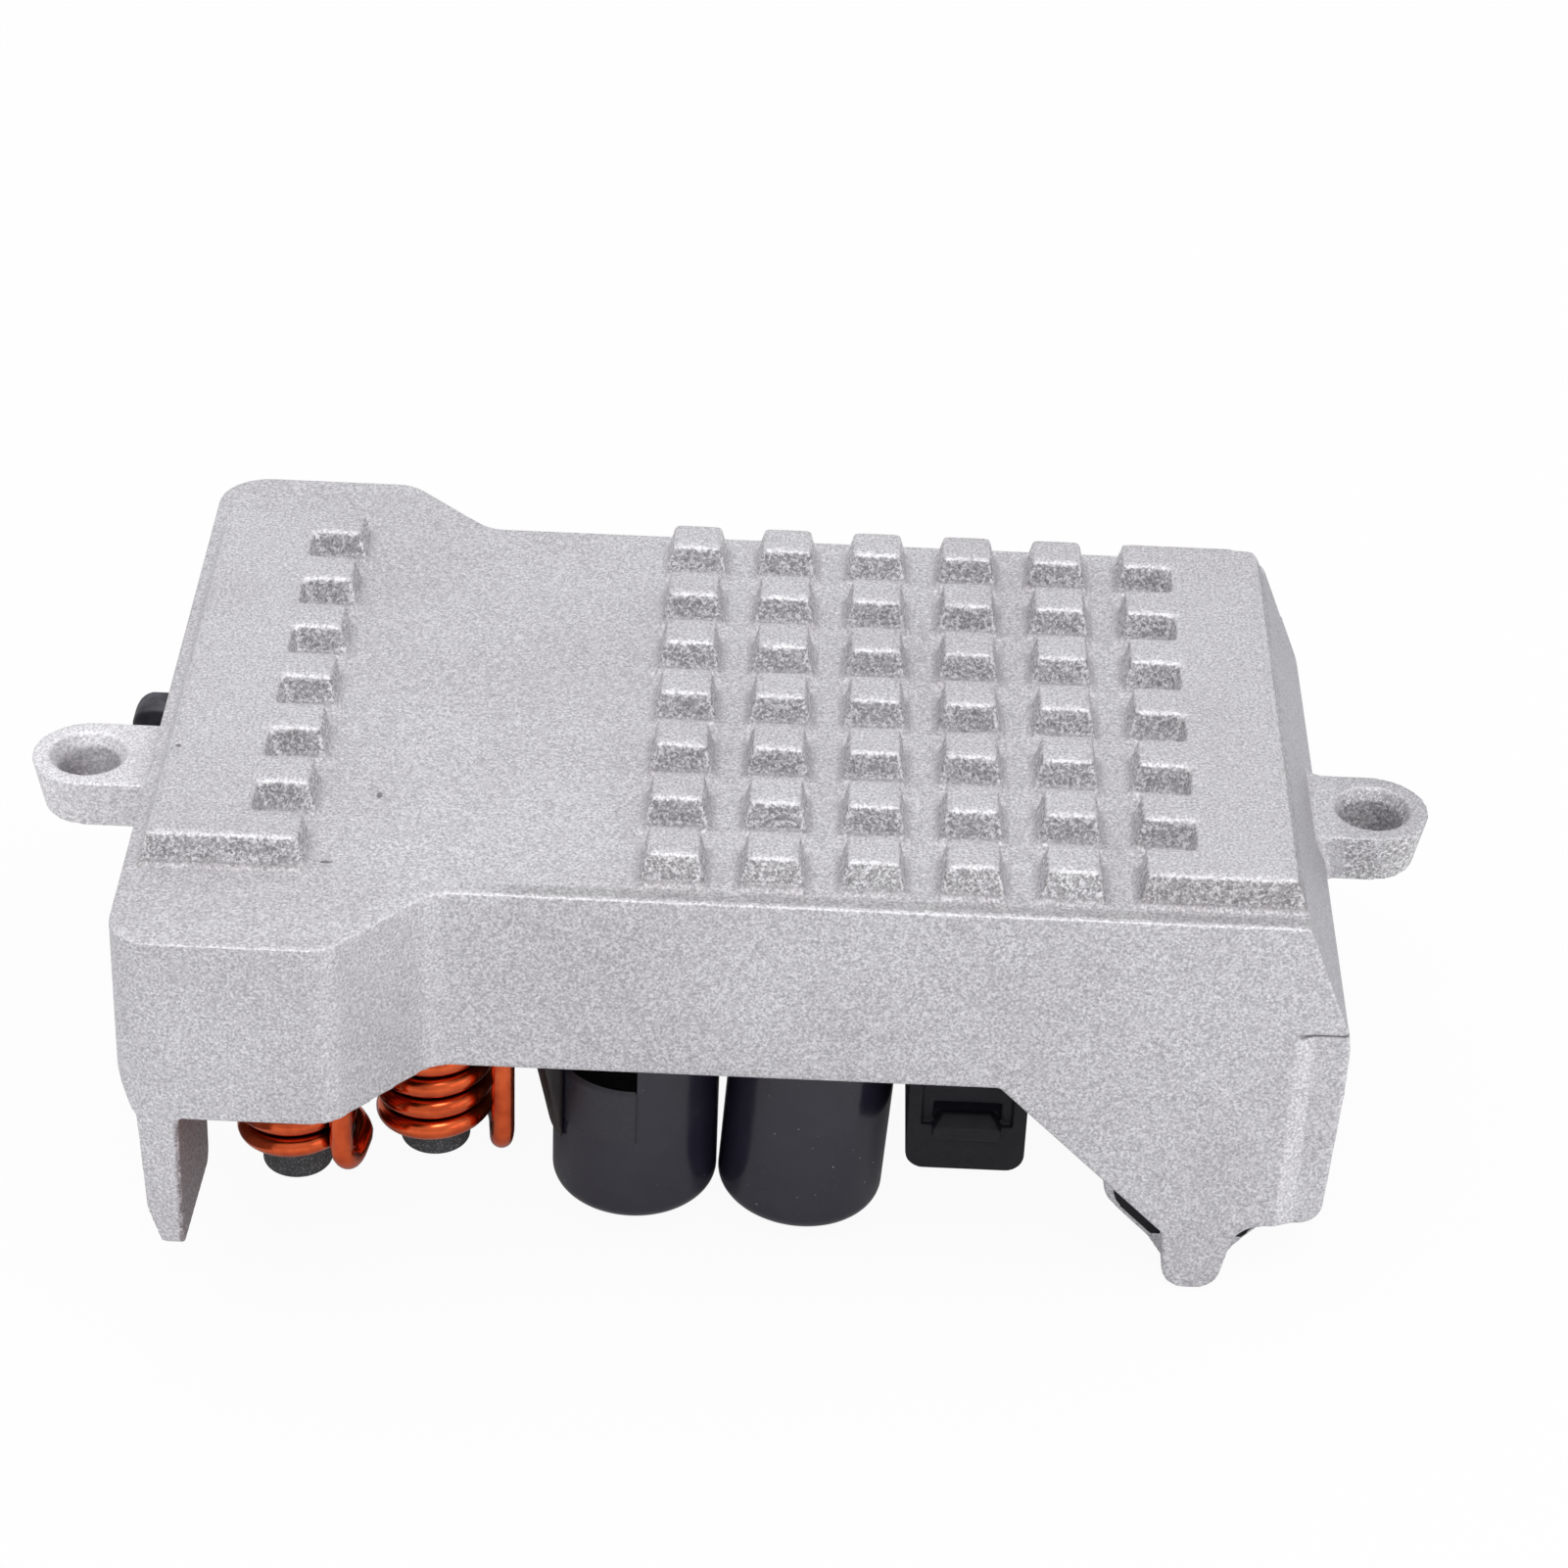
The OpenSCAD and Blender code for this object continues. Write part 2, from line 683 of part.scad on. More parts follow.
// Tapered gusset under the cover that steadies the first capacitor on its left
module cap_gusset() {
    root_w = 3.5;
    tip_w = 0.4;
    length = 15.4;
    from_angle = 140;
    sweep = 74;
    inner = cap_r + press;
    translate([cap_spots[0].x, cap_spots[0].y, 0]) rotate(from_angle)
        rotate_extrude(angle = sweep) polygon([
            [inner, cover_bottom - length],
            [inner + tip_w, cover_bottom - length],
            [inner + root_w, cover_bottom],
            [inner + root_w, cover_bottom + overlap],
            [inner, cover_bottom + overlap]
        ]);
}

module bottom_cover() {
    collar = 1.4;
    color("#1a1a1c") difference() {
        union() {
            difference() {
                between_z(cover_bottom, cover_top) plan(wall + fit);
                between_z(cover_bottom - overlap, cover_top + overlap) leg_room();
            }
            for (spot = screw_spots)
                translate([spot.x, spot.y, cover_bottom])
                    cylinder(h = board_bottom - cover_bottom, r = boss_r);
            intersection() {
                for (i = [0, 1]) on_cap_axis(i)
                    translate([0, 0, -cap_l]) cylinder(h = cap_l, r = cap_r + press + collar);
                between_z(cover_bottom - collar, cover_top) plan(wall + fit);
            }
            cover_tabs();
            cap_gusset();
        }
        for (spot = screw_spots)
            translate([spot.x, spot.y, cover_bottom - overlap])
                cylinder(h = board_bottom - cover_bottom + 2 * overlap, d = screw_d + 2 * slip);
        for (i = [0, 1]) on_cap_axis(i)
            translate([0, 0, -cap_l]) cylinder(h = cap_l, r = cap_r + press);
        for (choke = [choke_1, choke_2])
            translate([choke.x, choke.y, cover_bottom - overlap])
                cylinder(h = cover_t + 2 * overlap, r = coil_outer + fit);
        for (lead = [lead_1, lead_2])
            translate([lead.x, lead.y, cover_bottom - overlap])
                cylinder(h = cover_t + 2 * overlap, d = wire_d + 2 * fit);
        translate([front_socket_x - fit, front_socket_y - fit - overlap, cover_bottom - collar - overlap])
            cube([front_socket_w + 2 * fit, front_socket_l + 2 * fit + overlap,
                  collar + cover_t + 2 * overlap]);
        translate([side_socket_x, side_socket_y - fit, cover_bottom - overlap])
            cube([side_socket_l + fit, side_socket_w + 2 * fit, cover_t + 2 * overlap]);
    }
}

// Pan-head screws that clamp the cover and the board to the housing's bosses
module cover_screws() {
    color("#8d8f94") for (spot = screw_spots) translate([spot.x, spot.y, cover_bottom]) difference() {
        union() {
            cylinder(h = screw_l, d = screw_d);
            translate([0, 0, -screw_head_h])
                cylinder(h = screw_head_h, d1 = screw_head_d - 1.4, d2 = screw_head_d);
        }
        for (turn = [0, 90]) rotate(turn)
            translate([-screw_head_d / 4, -0.35, -screw_head_h - overlap])
                cube([screw_head_d / 2, 0.7, screw_head_h / 2 + overlap]);
    }
}

// Frame of capacitor i: its upper end at the origin, its axis along Z, its high edge against the board
module on_cap_axis(i) {
    lean = cap_leans[i];
    translate([cap_spots[i].x, cap_spots[i].y, board_bottom - cap_r * sin(lean)])
        rotate([0, lean, 0]) children();
}

// Section of a can in its sleeve: dished free end, rounded edge, bead near the leads
module can_profile() {
    bead = 0.7;
    bead_z = -4;
    sleeve_lip = 2.2;
    dish = 0.3;
    edge = 0.8;
    flat_r = cap_r - cap_round - sleeve_lip;
    polygon(concat(
        [[0, -cap_l + dish], [flat_r + dish, -cap_l + dish], [flat_r, -cap_l]],
        [for (i = [0 : arc_steps])
            let (a = 90 * i / arc_steps)
            [cap_r - cap_round + cap_round * sin(a), -cap_l + cap_round - cap_round * cos(a)]],
        [for (i = [0 : arc_steps])
            [cap_r - bead * (1 - cos(360 * i / arc_steps)) / 2, bead_z - bead + 2 * bead * i / arc_steps]],
        [[cap_r, -edge], [cap_r - edge, 0], [0, 0]]
    ));
}

module capacitor(i) {
    lead_end = 1.2;
    on_cap_axis(i) rotate_extrude() can_profile();
    for (side = [-1, 1])
        translate([cap_spots[i].x + side * cap_lead_pitch / 2, cap_y, board_bottom - 2 * overlap])
            cylinder(h = board_t + lead_end + 2 * overlap, d = cap_lead_d);
}

// The first capacitor's sleeve is cut away in front, just below the cover
module capacitor_1() {
    cut_start = -143;
    color("#17181c") difference() {
        capacitor(0);
        on_cap_axis(0) translate([0, 0, -sleeve_cut_drop - sleeve_cut_h]) rotate(cut_start)
            rotate_extrude(angle = sleeve_cut_angle)
                translate([cap_r - sleeve_t, 0]) square([sleeve_t + overlap, sleeve_cut_h]);
    }
}
module capacitor_2() { color("#17181c") capacitor(1); }

// Chokes
module choke_core(spot) {
    chamfer = 0.8;
    r = core_d / 2;
    color("#3c4145") translate([spot.x, spot.y, core_bottom])
        rotate_extrude() polygon([
            [0, 0], [r - chamfer, 0], [r, chamfer],
            [r, core_l - chamfer], [r - chamfer, core_l], [0, core_l]
        ]);
}
module choke_core_1() { choke_core(choke_1); }
module choke_core_2() { choke_core(choke_2); }

// Centre line of a winding: down from the board, round the core, forward and up again
steps_per_turn = 18;
wire_sides = 8;
wire_top = board_top + 1.2;
bend_r = wire_d * 0.9;
first_turn = turns - 0.06;     // the winding starts just past its wire's descent from the board
swell_turns = 0.4;             // part of the last turn that swells
function turn_r(turn) = coil_r + (turn < swell_turns ? swell * (1 - turn / swell_turns) ^ 2 : 0);
function helix_point(spot, foot, turn) = [
    spot.x + turn_r(turn) * cos(360 * turn),
    spot.y + turn_r(turn) * sin(360 * turn),
    foot + turn * turn_pitch
];
function wire_path(spot, lead, show) =
    let (
        foot = core_bottom + show,
        helix_top = foot + turns * turn_pitch,
        aside = lead.x - spot.x - coil_r - swell
    )
    concat(
        [for (z = [wire_top, helix_top + wire_d, helix_top + wire_d / 2]) [spot.x - coil_r, spot.y, z]],
        [for (i = [0 : floor(first_turn * steps_per_turn)])
            helix_point(spot, foot, first_turn - i / steps_per_turn)],
        [for (a = [-20 : 22 : 90])
            [lead.x - aside * (90 - a) / 150,
             lead.y + bend_r - bend_r * sin(a),
             foot + bend_r - bend_r * cos(a)]],
        [[lead.x, lead.y, wire_top]]
    );
function wire_ends(spot, lead) = [[spot.x - coil_r, spot.y], lead];
wire_ends_1 = wire_ends(choke_1, lead_1);
wire_ends_2 = wire_ends(choke_2, lead_2);

// A round tube along a path that winds about the vertical line through spot
module wire(path, spot) {
    n = len(path);
    rings = [for (i = [0 : n - 1])
        let (
            along = unit(path[min(i + 1, n - 1)] - path[max(i - 1, 0)]),
            outward = unit([path[i].x - spot.x, path[i].y - spot.y, 0]),
            side = unit(outward - along * (outward * along)),
            up = cross(along, side)
        )
        [for (k = [0 : wire_sides - 1])
            path[i] + wire_d / 2 * (cos(360 * k / wire_sides) * side + sin(360 * k / wire_sides) * up)]
    ];
    last = (n - 1) * wire_sides;
    polyhedron(
        points = [for (ring = rings) each ring],
        faces = concat(
            [[for (k = [wire_sides - 1 : -1 : 0]) k]],
            [for (i = [0 : n - 2], k = [0 : wire_sides - 1])
                let (a = i * wire_sides + k, b = i * wire_sides + (k + 1) % wire_sides)
                each [[a, b, b + wire_sides], [a, b + wire_sides, a + wire_sides]]],
            [[for (k = [0 : wire_sides - 1]) last + k]]
        )
    );
}
module choke_winding_1() { color("#b5562a") wire(wire_path(choke_1, lead_1, show_1), choke_1); }
module choke_winding_2() { color("#b5562a") wire(wire_path(choke_2, lead_2, show_2), choke_2); }

// Front socket: a shroud open at its foot, with a recessed panel and a wedge-shaped nib in front
panel_depth = 0.7;
control_pin_pitch = 2.8;
control_pin_y = front_socket_y + (front_socket_l + panel_depth) / 2;
control_pin_x = [for (i = [-1, 0, 1]) front_socket_x + front_socket_w / 2 + i * control_pin_pitch];
front_floor = 7.4;
front_cavity_top = board_bottom - front_floor;
module control_socket() {
    x0 = front_socket_x;
    x1 = front_socket_x + front_socket_w;
    y0 = front_socket_y;
    panel_foot = -front_socket_foot + 5.7;
    pocket_h = 2.6;
    nib_in = 2.7;
    nib_cut = 1;
    nib_out = 0.9;
    nib_low = panel_foot - 1.1;
    nib_high = panel_foot + 1.2;
    color("#161618") difference() {
        union() {
            difference() {
                along_y(y0, y0 + front_socket_l) polygon(rounded([
                    [x0, -front_socket_foot, socket_round],
                    [x1, -front_socket_foot, socket_round],
                    [x1, board_bottom, 0],
                    [x0, board_bottom, 0]
                ]));
                translate([x0 + socket_wall, y0 + socket_wall + panel_depth, -front_socket_foot - overlap])
                    cube([front_socket_w - 2 * socket_wall, front_socket_l - 2 * socket_wall - panel_depth,
                          front_cavity_top + front_socket_foot + overlap]);
                translate([x0 + socket_wall, y0 - overlap, panel_foot])
                    cube([front_socket_w - 2 * socket_wall, overlap + panel_depth, cover_top - panel_foot]);
                translate([x0 + nib_in, y0 - overlap, panel_foot])
                    cube([front_socket_w - 2 * nib_in, overlap + panel_depth + socket_wall / 2, pocket_h]);
            }
            intersection() {
                along_x(x0 + nib_in, x1 - nib_in) polygon([
                    [y0 + panel_depth + socket_wall / 2, nib_low - nib_out / 4],
                    [y0 - nib_out, nib_low],
                    [y0 - nib_out, nib_high - nib_cut],
                    [y0 + panel_depth, nib_high],
                    [y0 + panel_depth + socket_wall / 2, nib_high]
                ]);
                along_y(y0 - overlap, y0 + front_socket_l) polygon([
                    [x0 + nib_in, nib_low - overlap],
                    [x1 - nib_in, nib_low - overlap],
                    [x1 - nib_in, nib_high - nib_cut],
                    [x1 - nib_in - nib_cut, nib_high],
                    [x0 + nib_in + nib_cut, nib_high],
                    [x0 + nib_in, nib_high - nib_cut]
                ]);
            }
        }
        for (x = control_pin_x)
            translate([x - terminal_t / 2 - press, control_pin_y - terminal_t / 2 - press,
                       -front_socket_foot])
                cube([terminal_t + 2 * press, terminal_t + 2 * press,
                      front_socket_foot + board_bottom + overlap]);
    }
}

terminal_end = 1;
module control_terminals() {
    mouth_inset = 3.5;
    pin_foot = -front_socket_foot + mouth_inset;
    color("#b9b48f") for (x = control_pin_x)
        translate([x - terminal_t / 2, control_pin_y - terminal_t / 2, pin_foot])
            cube([terminal_t, terminal_t, board_top + terminal_end - pin_foot]);
}

// Side socket: a wider shroud that reaches out under the left wall
power_blade_x = -body_left + wall + 2.2;
power_blade_y = [for (side = [-1, 1]) side_socket_y + side_socket_w / 2 + side * 2.6];
blade_w = 6.3;
blade_leg_w = 3;
blade_centre_x = side_socket_x + side_socket_l / 2;
socket_floor = 6.2;
shelf_h = 2;
side_cavity_top = board_bottom - socket_floor;
blade_shelf = side_cavity_top + 0.5;
shelf_end = power_blade_x + blade_leg_w / 2;

// Side view of a blade from its foot to its end over the board, grown by gap all round
module blade_profile(foot, gap) {
    left = blade_centre_x - blade_w / 2;
    translate([left - gap, foot]) square([blade_w + 2 * gap, blade_shelf + shelf_h + gap - foot]);
    translate([left - gap, blade_shelf - gap]) square([shelf_end - left + 2 * gap, shelf_h + 2 * gap]);
    translate([shelf_end - blade_leg_w - gap, blade_shelf - gap])
        square([blade_leg_w + 2 * gap, board_top + terminal_end - blade_shelf + gap]);
}

module power_socket() {
    edge_r = 0.6;
    x0 = side_socket_x;
    x1 = side_socket_x + side_socket_l;
    y0 = side_socket_y;
    y1 = side_socket_y + side_socket_w;
    step_x = -body_left - fit;
    color("#161618") difference() {
        intersection() {
            along_y(y0, y1) polygon(rounded([
                [x0, -side_socket_foot, edge_r],
                [x1, -side_socket_foot, edge_r],
                [x1, board_bottom, 0],
                [x0, board_bottom, socket_round]
            ]));
            between_z(-side_socket_foot, board_bottom) polygon(rounded([
                [x0, y0, edge_r],
                [x1, y0, edge_r],
                [x1, y1, edge_r],
                [x0, y1, socket_round]
            ]));
        }
        translate([x0 - overlap, y0 - overlap, board_bottom - side_socket_drop])
            cube([step_x - x0 + overlap, side_socket_w - side_rib_l + overlap, side_socket_drop + overlap]);
        translate([x0 - overlap, y0 - overlap, -side_socket_foot - overlap])
            cube([side_rib_proud + overlap, side_socket_w - side_rib_l + overlap,
                  side_socket_foot + board_bottom + 2 * overlap]);
        translate([x0 + side_rib_proud + socket_wall, y0 + socket_wall, -side_socket_foot - overlap])
            cube([side_socket_l - side_rib_proud - 2 * socket_wall, side_socket_w - 2 * socket_wall,
                  side_cavity_top + side_socket_foot + overlap]);
        for (y = power_blade_y)
            along_y(y - terminal_t / 2 - press, y + terminal_t / 2 + press)
                blade_profile(side_cavity_top - overlap, press);
    }
}

module power_terminals() {
    mouth_inset = 4;
    color("#b9b48f") for (y = power_blade_y)
        along_y(y - terminal_t / 2, y + terminal_t / 2) blade_profile(-side_socket_foot + mouth_inset, 0);
}

// Power parts: tab against the plate, three legs bent down through the board
power_part_x = [for (i = [0 : 2]) transistor_x + i * transistor_pitch];
power_part_y = 12;
tab_hole_y = power_part_y + transistor_l / 2 - 3;
tab_screw_depth = 2.4;
power_lead_pitch = 2.54;
power_lead_w = 0.8;
power_lead_t = 0.6;
power_lead_reach = 4;
power_lead_y = power_part_y - transistor_l / 2 - power_lead_reach;
tab_top = ceiling - pad_t;
module power_part(x) {
    moulded_l = 9;
    front = power_part_y - transistor_l / 2;
    lead_z = tab_top - transistor_t / 2;
    color("#26272a") difference() {
        union() {
            translate([x - transistor_w / 2, front, tab_top - tab_t])
                cube([transistor_w, transistor_l, tab_t]);
            translate([x - transistor_w / 2, front, tab_top - transistor_t])
                cube([transistor_w, moulded_l, transistor_t - overlap / 4]);
            for (lead = [-1, 0, 1]) translate([x + lead * power_lead_pitch - power_lead_w / 2, 0, 0]) {
                translate([0, power_lead_y - power_lead_t / 2, lead_z - power_lead_t / 2])
                    cube([power_lead_w, power_lead_reach + power_lead_t / 2 + overlap, power_lead_t]);
                translate([0, power_lead_y - power_lead_t / 2, board_bottom - 0.6])
                    cube([power_lead_w, power_lead_t, lead_z + power_lead_t / 2 - board_bottom + 0.6]);
            }
        }
        translate([x, tab_hole_y, tab_top - tab_t - overlap])
            cylinder(h = tab_t + 2 * overlap, d = tab_screw_d + 2 * slip);
    }
}
module power_transistor_1() { power_part(power_part_x[0]); }
module power_transistor_2() { power_part(power_part_x[1]); }
module freewheel_diode() { power_part(power_part_x[2]); }

module insulating_pads() {
    color("#b9bcc4") for (x = power_part_x) difference() {
        translate([x - transistor_w / 2 - 1, power_part_y - transistor_l / 2 - 1, tab_top])
            cube([transistor_w + 2, transistor_l + 2, pad_t]);
        translate([x, tab_hole_y, tab_top - overlap])
            cylinder(h = pad_t + 2 * overlap, d = tab_screw_d + 2 * slip);
    }
}

module tab_screws() {
    head_h = 1.8;
    color("#8d8f94") for (x = power_part_x) translate([x, tab_hole_y, tab_top - tab_t]) {
        cylinder(h = tab_t + pad_t + tab_screw_depth, d = tab_screw_d);
        translate([0, 0, -head_h]) cylinder(h = head_h, d = tab_screw_d * 1.8);
    }
}

// Small parts on the board's lower face
module current_shunt() {
    strip_w = 5;
    strip_t = 0.8;
    rise = 3;
    span = 14;
    color("#a07d5a") translate([18, 0, board_bottom]) along_y(-strip_w / 2, strip_w / 2) polygon([
        [-span / 2, 0], [-span / 2, -rise], [span / 2, -rise], [span / 2, 0],
        [span / 2 - strip_t, 0], [span / 2 - strip_t, -rise + strip_t],
        [-span / 2 + strip_t, -rise + strip_t], [-span / 2 + strip_t, 0]
    ]);
}

module control_chip() {
    chip_w = 3.9;
    chip_l = 8.6;
    chip_t = 1.5;
    legs = 7;
    leg_pitch = 1.27;
    color("#222326") translate([42, 4, board_bottom - chip_t]) {
        translate([-chip_l / 2, -chip_w / 2, 0]) cube([chip_l, chip_w, chip_t - 0.1]);
        for (i = [0 : legs - 1])
            translate([(i - (legs - 1) / 2) * leg_pitch - 0.2, -chip_w / 2 - 1, chip_t - 0.3])
                cube([0.4, chip_w + 2, 0.3]);
    }
}

chip_row_x = 34;
resistor_row_y = -6;
resistor_size = [1.25, 2, 0.55];
resistor_pitch = 3;
capacitor_row_y = 13;
ceramic_size = [1.6, 3.2, 1.4];
ceramic_pitch = 3.5;
module chip_row(spot, count, size, pitch) {
    for (i = [0 : count - 1])
        translate([spot.x + i * pitch - size.x / 2, spot.y - size.y / 2, board_bottom - size.z]) cube(size);
}
module chip_resistors() {
    color("#2a2a2e") chip_row([chip_row_x, resistor_row_y], 6, resistor_size, resistor_pitch);
}
module chip_capacitors() {
    color("#b79a6d") chip_row([chip_row_x, capacitor_row_y], 5, ceramic_size, ceramic_pitch);
}

module suppressor_diode() {
    body = [7.9, 5.9, 2.3];
    color("#1d1e20") translate([-20, 12, board_bottom]) {
        translate([-body.x / 2, -body.y / 2, -body.z]) cube([body.x, body.y, body.z - 0.15]);
        for (side = [-1, 1]) translate([side * body.x / 2 - 0.9, -1.5, -0.9]) cube([1.8, 3, 0.9]);
    }
}

heat_sink_housing();
bottom_cover();
circuit_board();
cover_screws();
capacitor_1();
capacitor_2();
choke_core_1();
choke_core_2();
choke_winding_1();
choke_winding_2();
control_socket();
control_terminals();
power_socket();
power_terminals();
power_transistor_1();
power_transistor_2();
freewheel_diode();
insulating_pads();
tab_screws();
current_shunt();
control_chip();
chip_resistors();
chip_capacitors();
suppressor_diode();
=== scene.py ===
"""Looks of a cast blower motor regulator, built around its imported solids."""

import json
import math

import bmesh
import bpy
from mathutils import Matrix, Vector


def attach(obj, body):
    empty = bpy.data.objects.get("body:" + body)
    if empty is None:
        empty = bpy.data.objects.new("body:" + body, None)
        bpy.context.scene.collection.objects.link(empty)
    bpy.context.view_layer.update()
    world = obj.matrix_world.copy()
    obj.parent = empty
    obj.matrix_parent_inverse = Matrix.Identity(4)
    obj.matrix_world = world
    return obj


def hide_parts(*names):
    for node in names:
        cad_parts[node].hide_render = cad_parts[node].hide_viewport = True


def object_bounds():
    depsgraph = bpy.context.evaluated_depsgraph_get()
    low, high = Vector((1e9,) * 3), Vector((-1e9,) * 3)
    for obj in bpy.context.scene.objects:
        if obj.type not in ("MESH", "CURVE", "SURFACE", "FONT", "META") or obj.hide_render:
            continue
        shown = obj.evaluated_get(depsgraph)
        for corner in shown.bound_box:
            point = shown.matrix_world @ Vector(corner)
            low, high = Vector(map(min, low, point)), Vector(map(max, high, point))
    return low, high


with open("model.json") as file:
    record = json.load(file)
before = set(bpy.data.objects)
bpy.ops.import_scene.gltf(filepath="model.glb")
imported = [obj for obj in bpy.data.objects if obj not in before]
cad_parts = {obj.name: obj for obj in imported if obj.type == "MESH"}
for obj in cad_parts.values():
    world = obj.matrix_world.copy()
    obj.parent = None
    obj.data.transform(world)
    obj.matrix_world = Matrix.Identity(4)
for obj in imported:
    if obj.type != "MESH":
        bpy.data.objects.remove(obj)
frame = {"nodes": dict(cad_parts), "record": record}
cad_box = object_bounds()
nodes = frame["nodes"]
scene = bpy.context.scene
MM = 0.001

# Camera, from the perspective of the pin grid in the photograph
CAMERA_AT = Vector((5.75, -383.8, 262.05)) * MM
CAMERA_TILT = math.radians(33.7247)
CAMERA_ROLL = math.radians(2.463)
FOCAL_PIXELS = 4391.67
PHOTO_PIXELS = 1601
SENSOR = 36

# Sizes shared with the solids, in millimetres, rounded where they are worked out there
PLATE = 15.0
PIN_TOP = PLATE + 3.6
WALL_FOOT = PLATE - 21.5
BODY_LEFT = -59.8
BODY_RIGHT = 64.3
NARROW_FRONT = -35.8
LEG_SIDE = -53.3
LUG_X = 68.9
LUG_TOP = 6.0
LUG_HOLE_R = 3.3
PAD_TOP = 1.9
SOCKET_X = 26.2
NIB_TOP = -13.1
NIB_POCKET_Y = -30.85
BOARD_BOTTOM = 2.6
BOARD_TOP = 4.2
LEAD_END = BOARD_TOP + 1.2
CAP_R = 8.75
CAP_L = 31.6
CAP_Y = -23.6
CAP_LEAD = 3.75
CAP_LEAD_R = 0.4
CAPS = (("capacitor_1", -8.5, 0.0), ("capacitor_2", 10.851, math.radians(3.2)))
CORE_R = 3.65
CORE_L = 25.7
CORE_BOTTOM = BOARD_BOTTOM - CORE_L
WIRE_R = 1.2
COIL_R = 5.05
TURNS = 6.5
TURN_PITCH = 2.75
SWELL = 1.8
SWELL_TURNS = 0.4
BEND_R = 2.16
CHOKES = (
    # number, axis, rising end measured from the axis, height of the winding's foot
    (1, (-43.5, -31.1), (5.25, -5.5), CORE_BOTTOM + 3.5),
    (2, (-29.5, -26.25), (7.5, -4.7), CORE_BOTTOM + 2.7),
)


def make_camera():
    """The photograph's view."""
    right = Vector((1, 0, 0))
    up = Vector((0, math.sin(CAMERA_TILT), math.cos(CAMERA_TILT)))
    right, up = (right * math.cos(CAMERA_ROLL) + up * math.sin(CAMERA_ROLL),
                 up * math.cos(CAMERA_ROLL) - right * math.sin(CAMERA_ROLL))
    back = right.cross(up)
    data = bpy.data.cameras.new("camera")
    data.sensor_width = SENSOR
    data.lens = FOCAL_PIXELS * SENSOR / PHOTO_PIXELS
    data.clip_start = 0.01
    data.clip_end = 20
    camera = bpy.data.objects.new("camera", data)
    scene.collection.objects.link(camera)
    camera.matrix_world = Matrix((
        (right.x, up.x, back.x, CAMERA_AT.x),
        (right.y, up.y, back.y, CAMERA_AT.y),
        (right.z, up.z, back.z, CAMERA_AT.z),
        (0, 0, 0, 1),
    ))
    scene.camera = camera


def split(tree, vector):
    """The X, Y and Z outputs of a vector."""
    node = tree.nodes.new("ShaderNodeSeparateXYZ")
    tree.links.new(vector, node.inputs[0])
    return node.outputs


def map_range(tree, value, low, high, at_low=0.0, at_high=1.0):
    """at_low up to low, at_high from high on, straight in between; low may be the larger one."""
    node = tree.nodes.new("ShaderNodeMapRange")
    for key, level in (("From Min", low), ("From Max", high), ("To Min", at_low), ("To Max", at_high)):
        node.inputs[key].default_value = level
    tree.links.new(value, node.inputs["Value"])
    return node.outputs["Result"]


def colour_ramp(tree, value, stops):
    """Colours or greys at the given places of a 0 to 1 value."""
    node = tree.nodes.new("ShaderNodeValToRGB")
    elements = node.color_ramp.elements
    while len(elements) < len(stops):
        elements.new(0.5)
    for element, (place, colour) in zip(elements, stops):
        element.position = place
        element.color = (*colour, 1) if hasattr(colour, "__len__") else (colour, colour, colour, 1)
    tree.links.new(value, node.inputs["Fac"])
    return node.outputs["Color"]


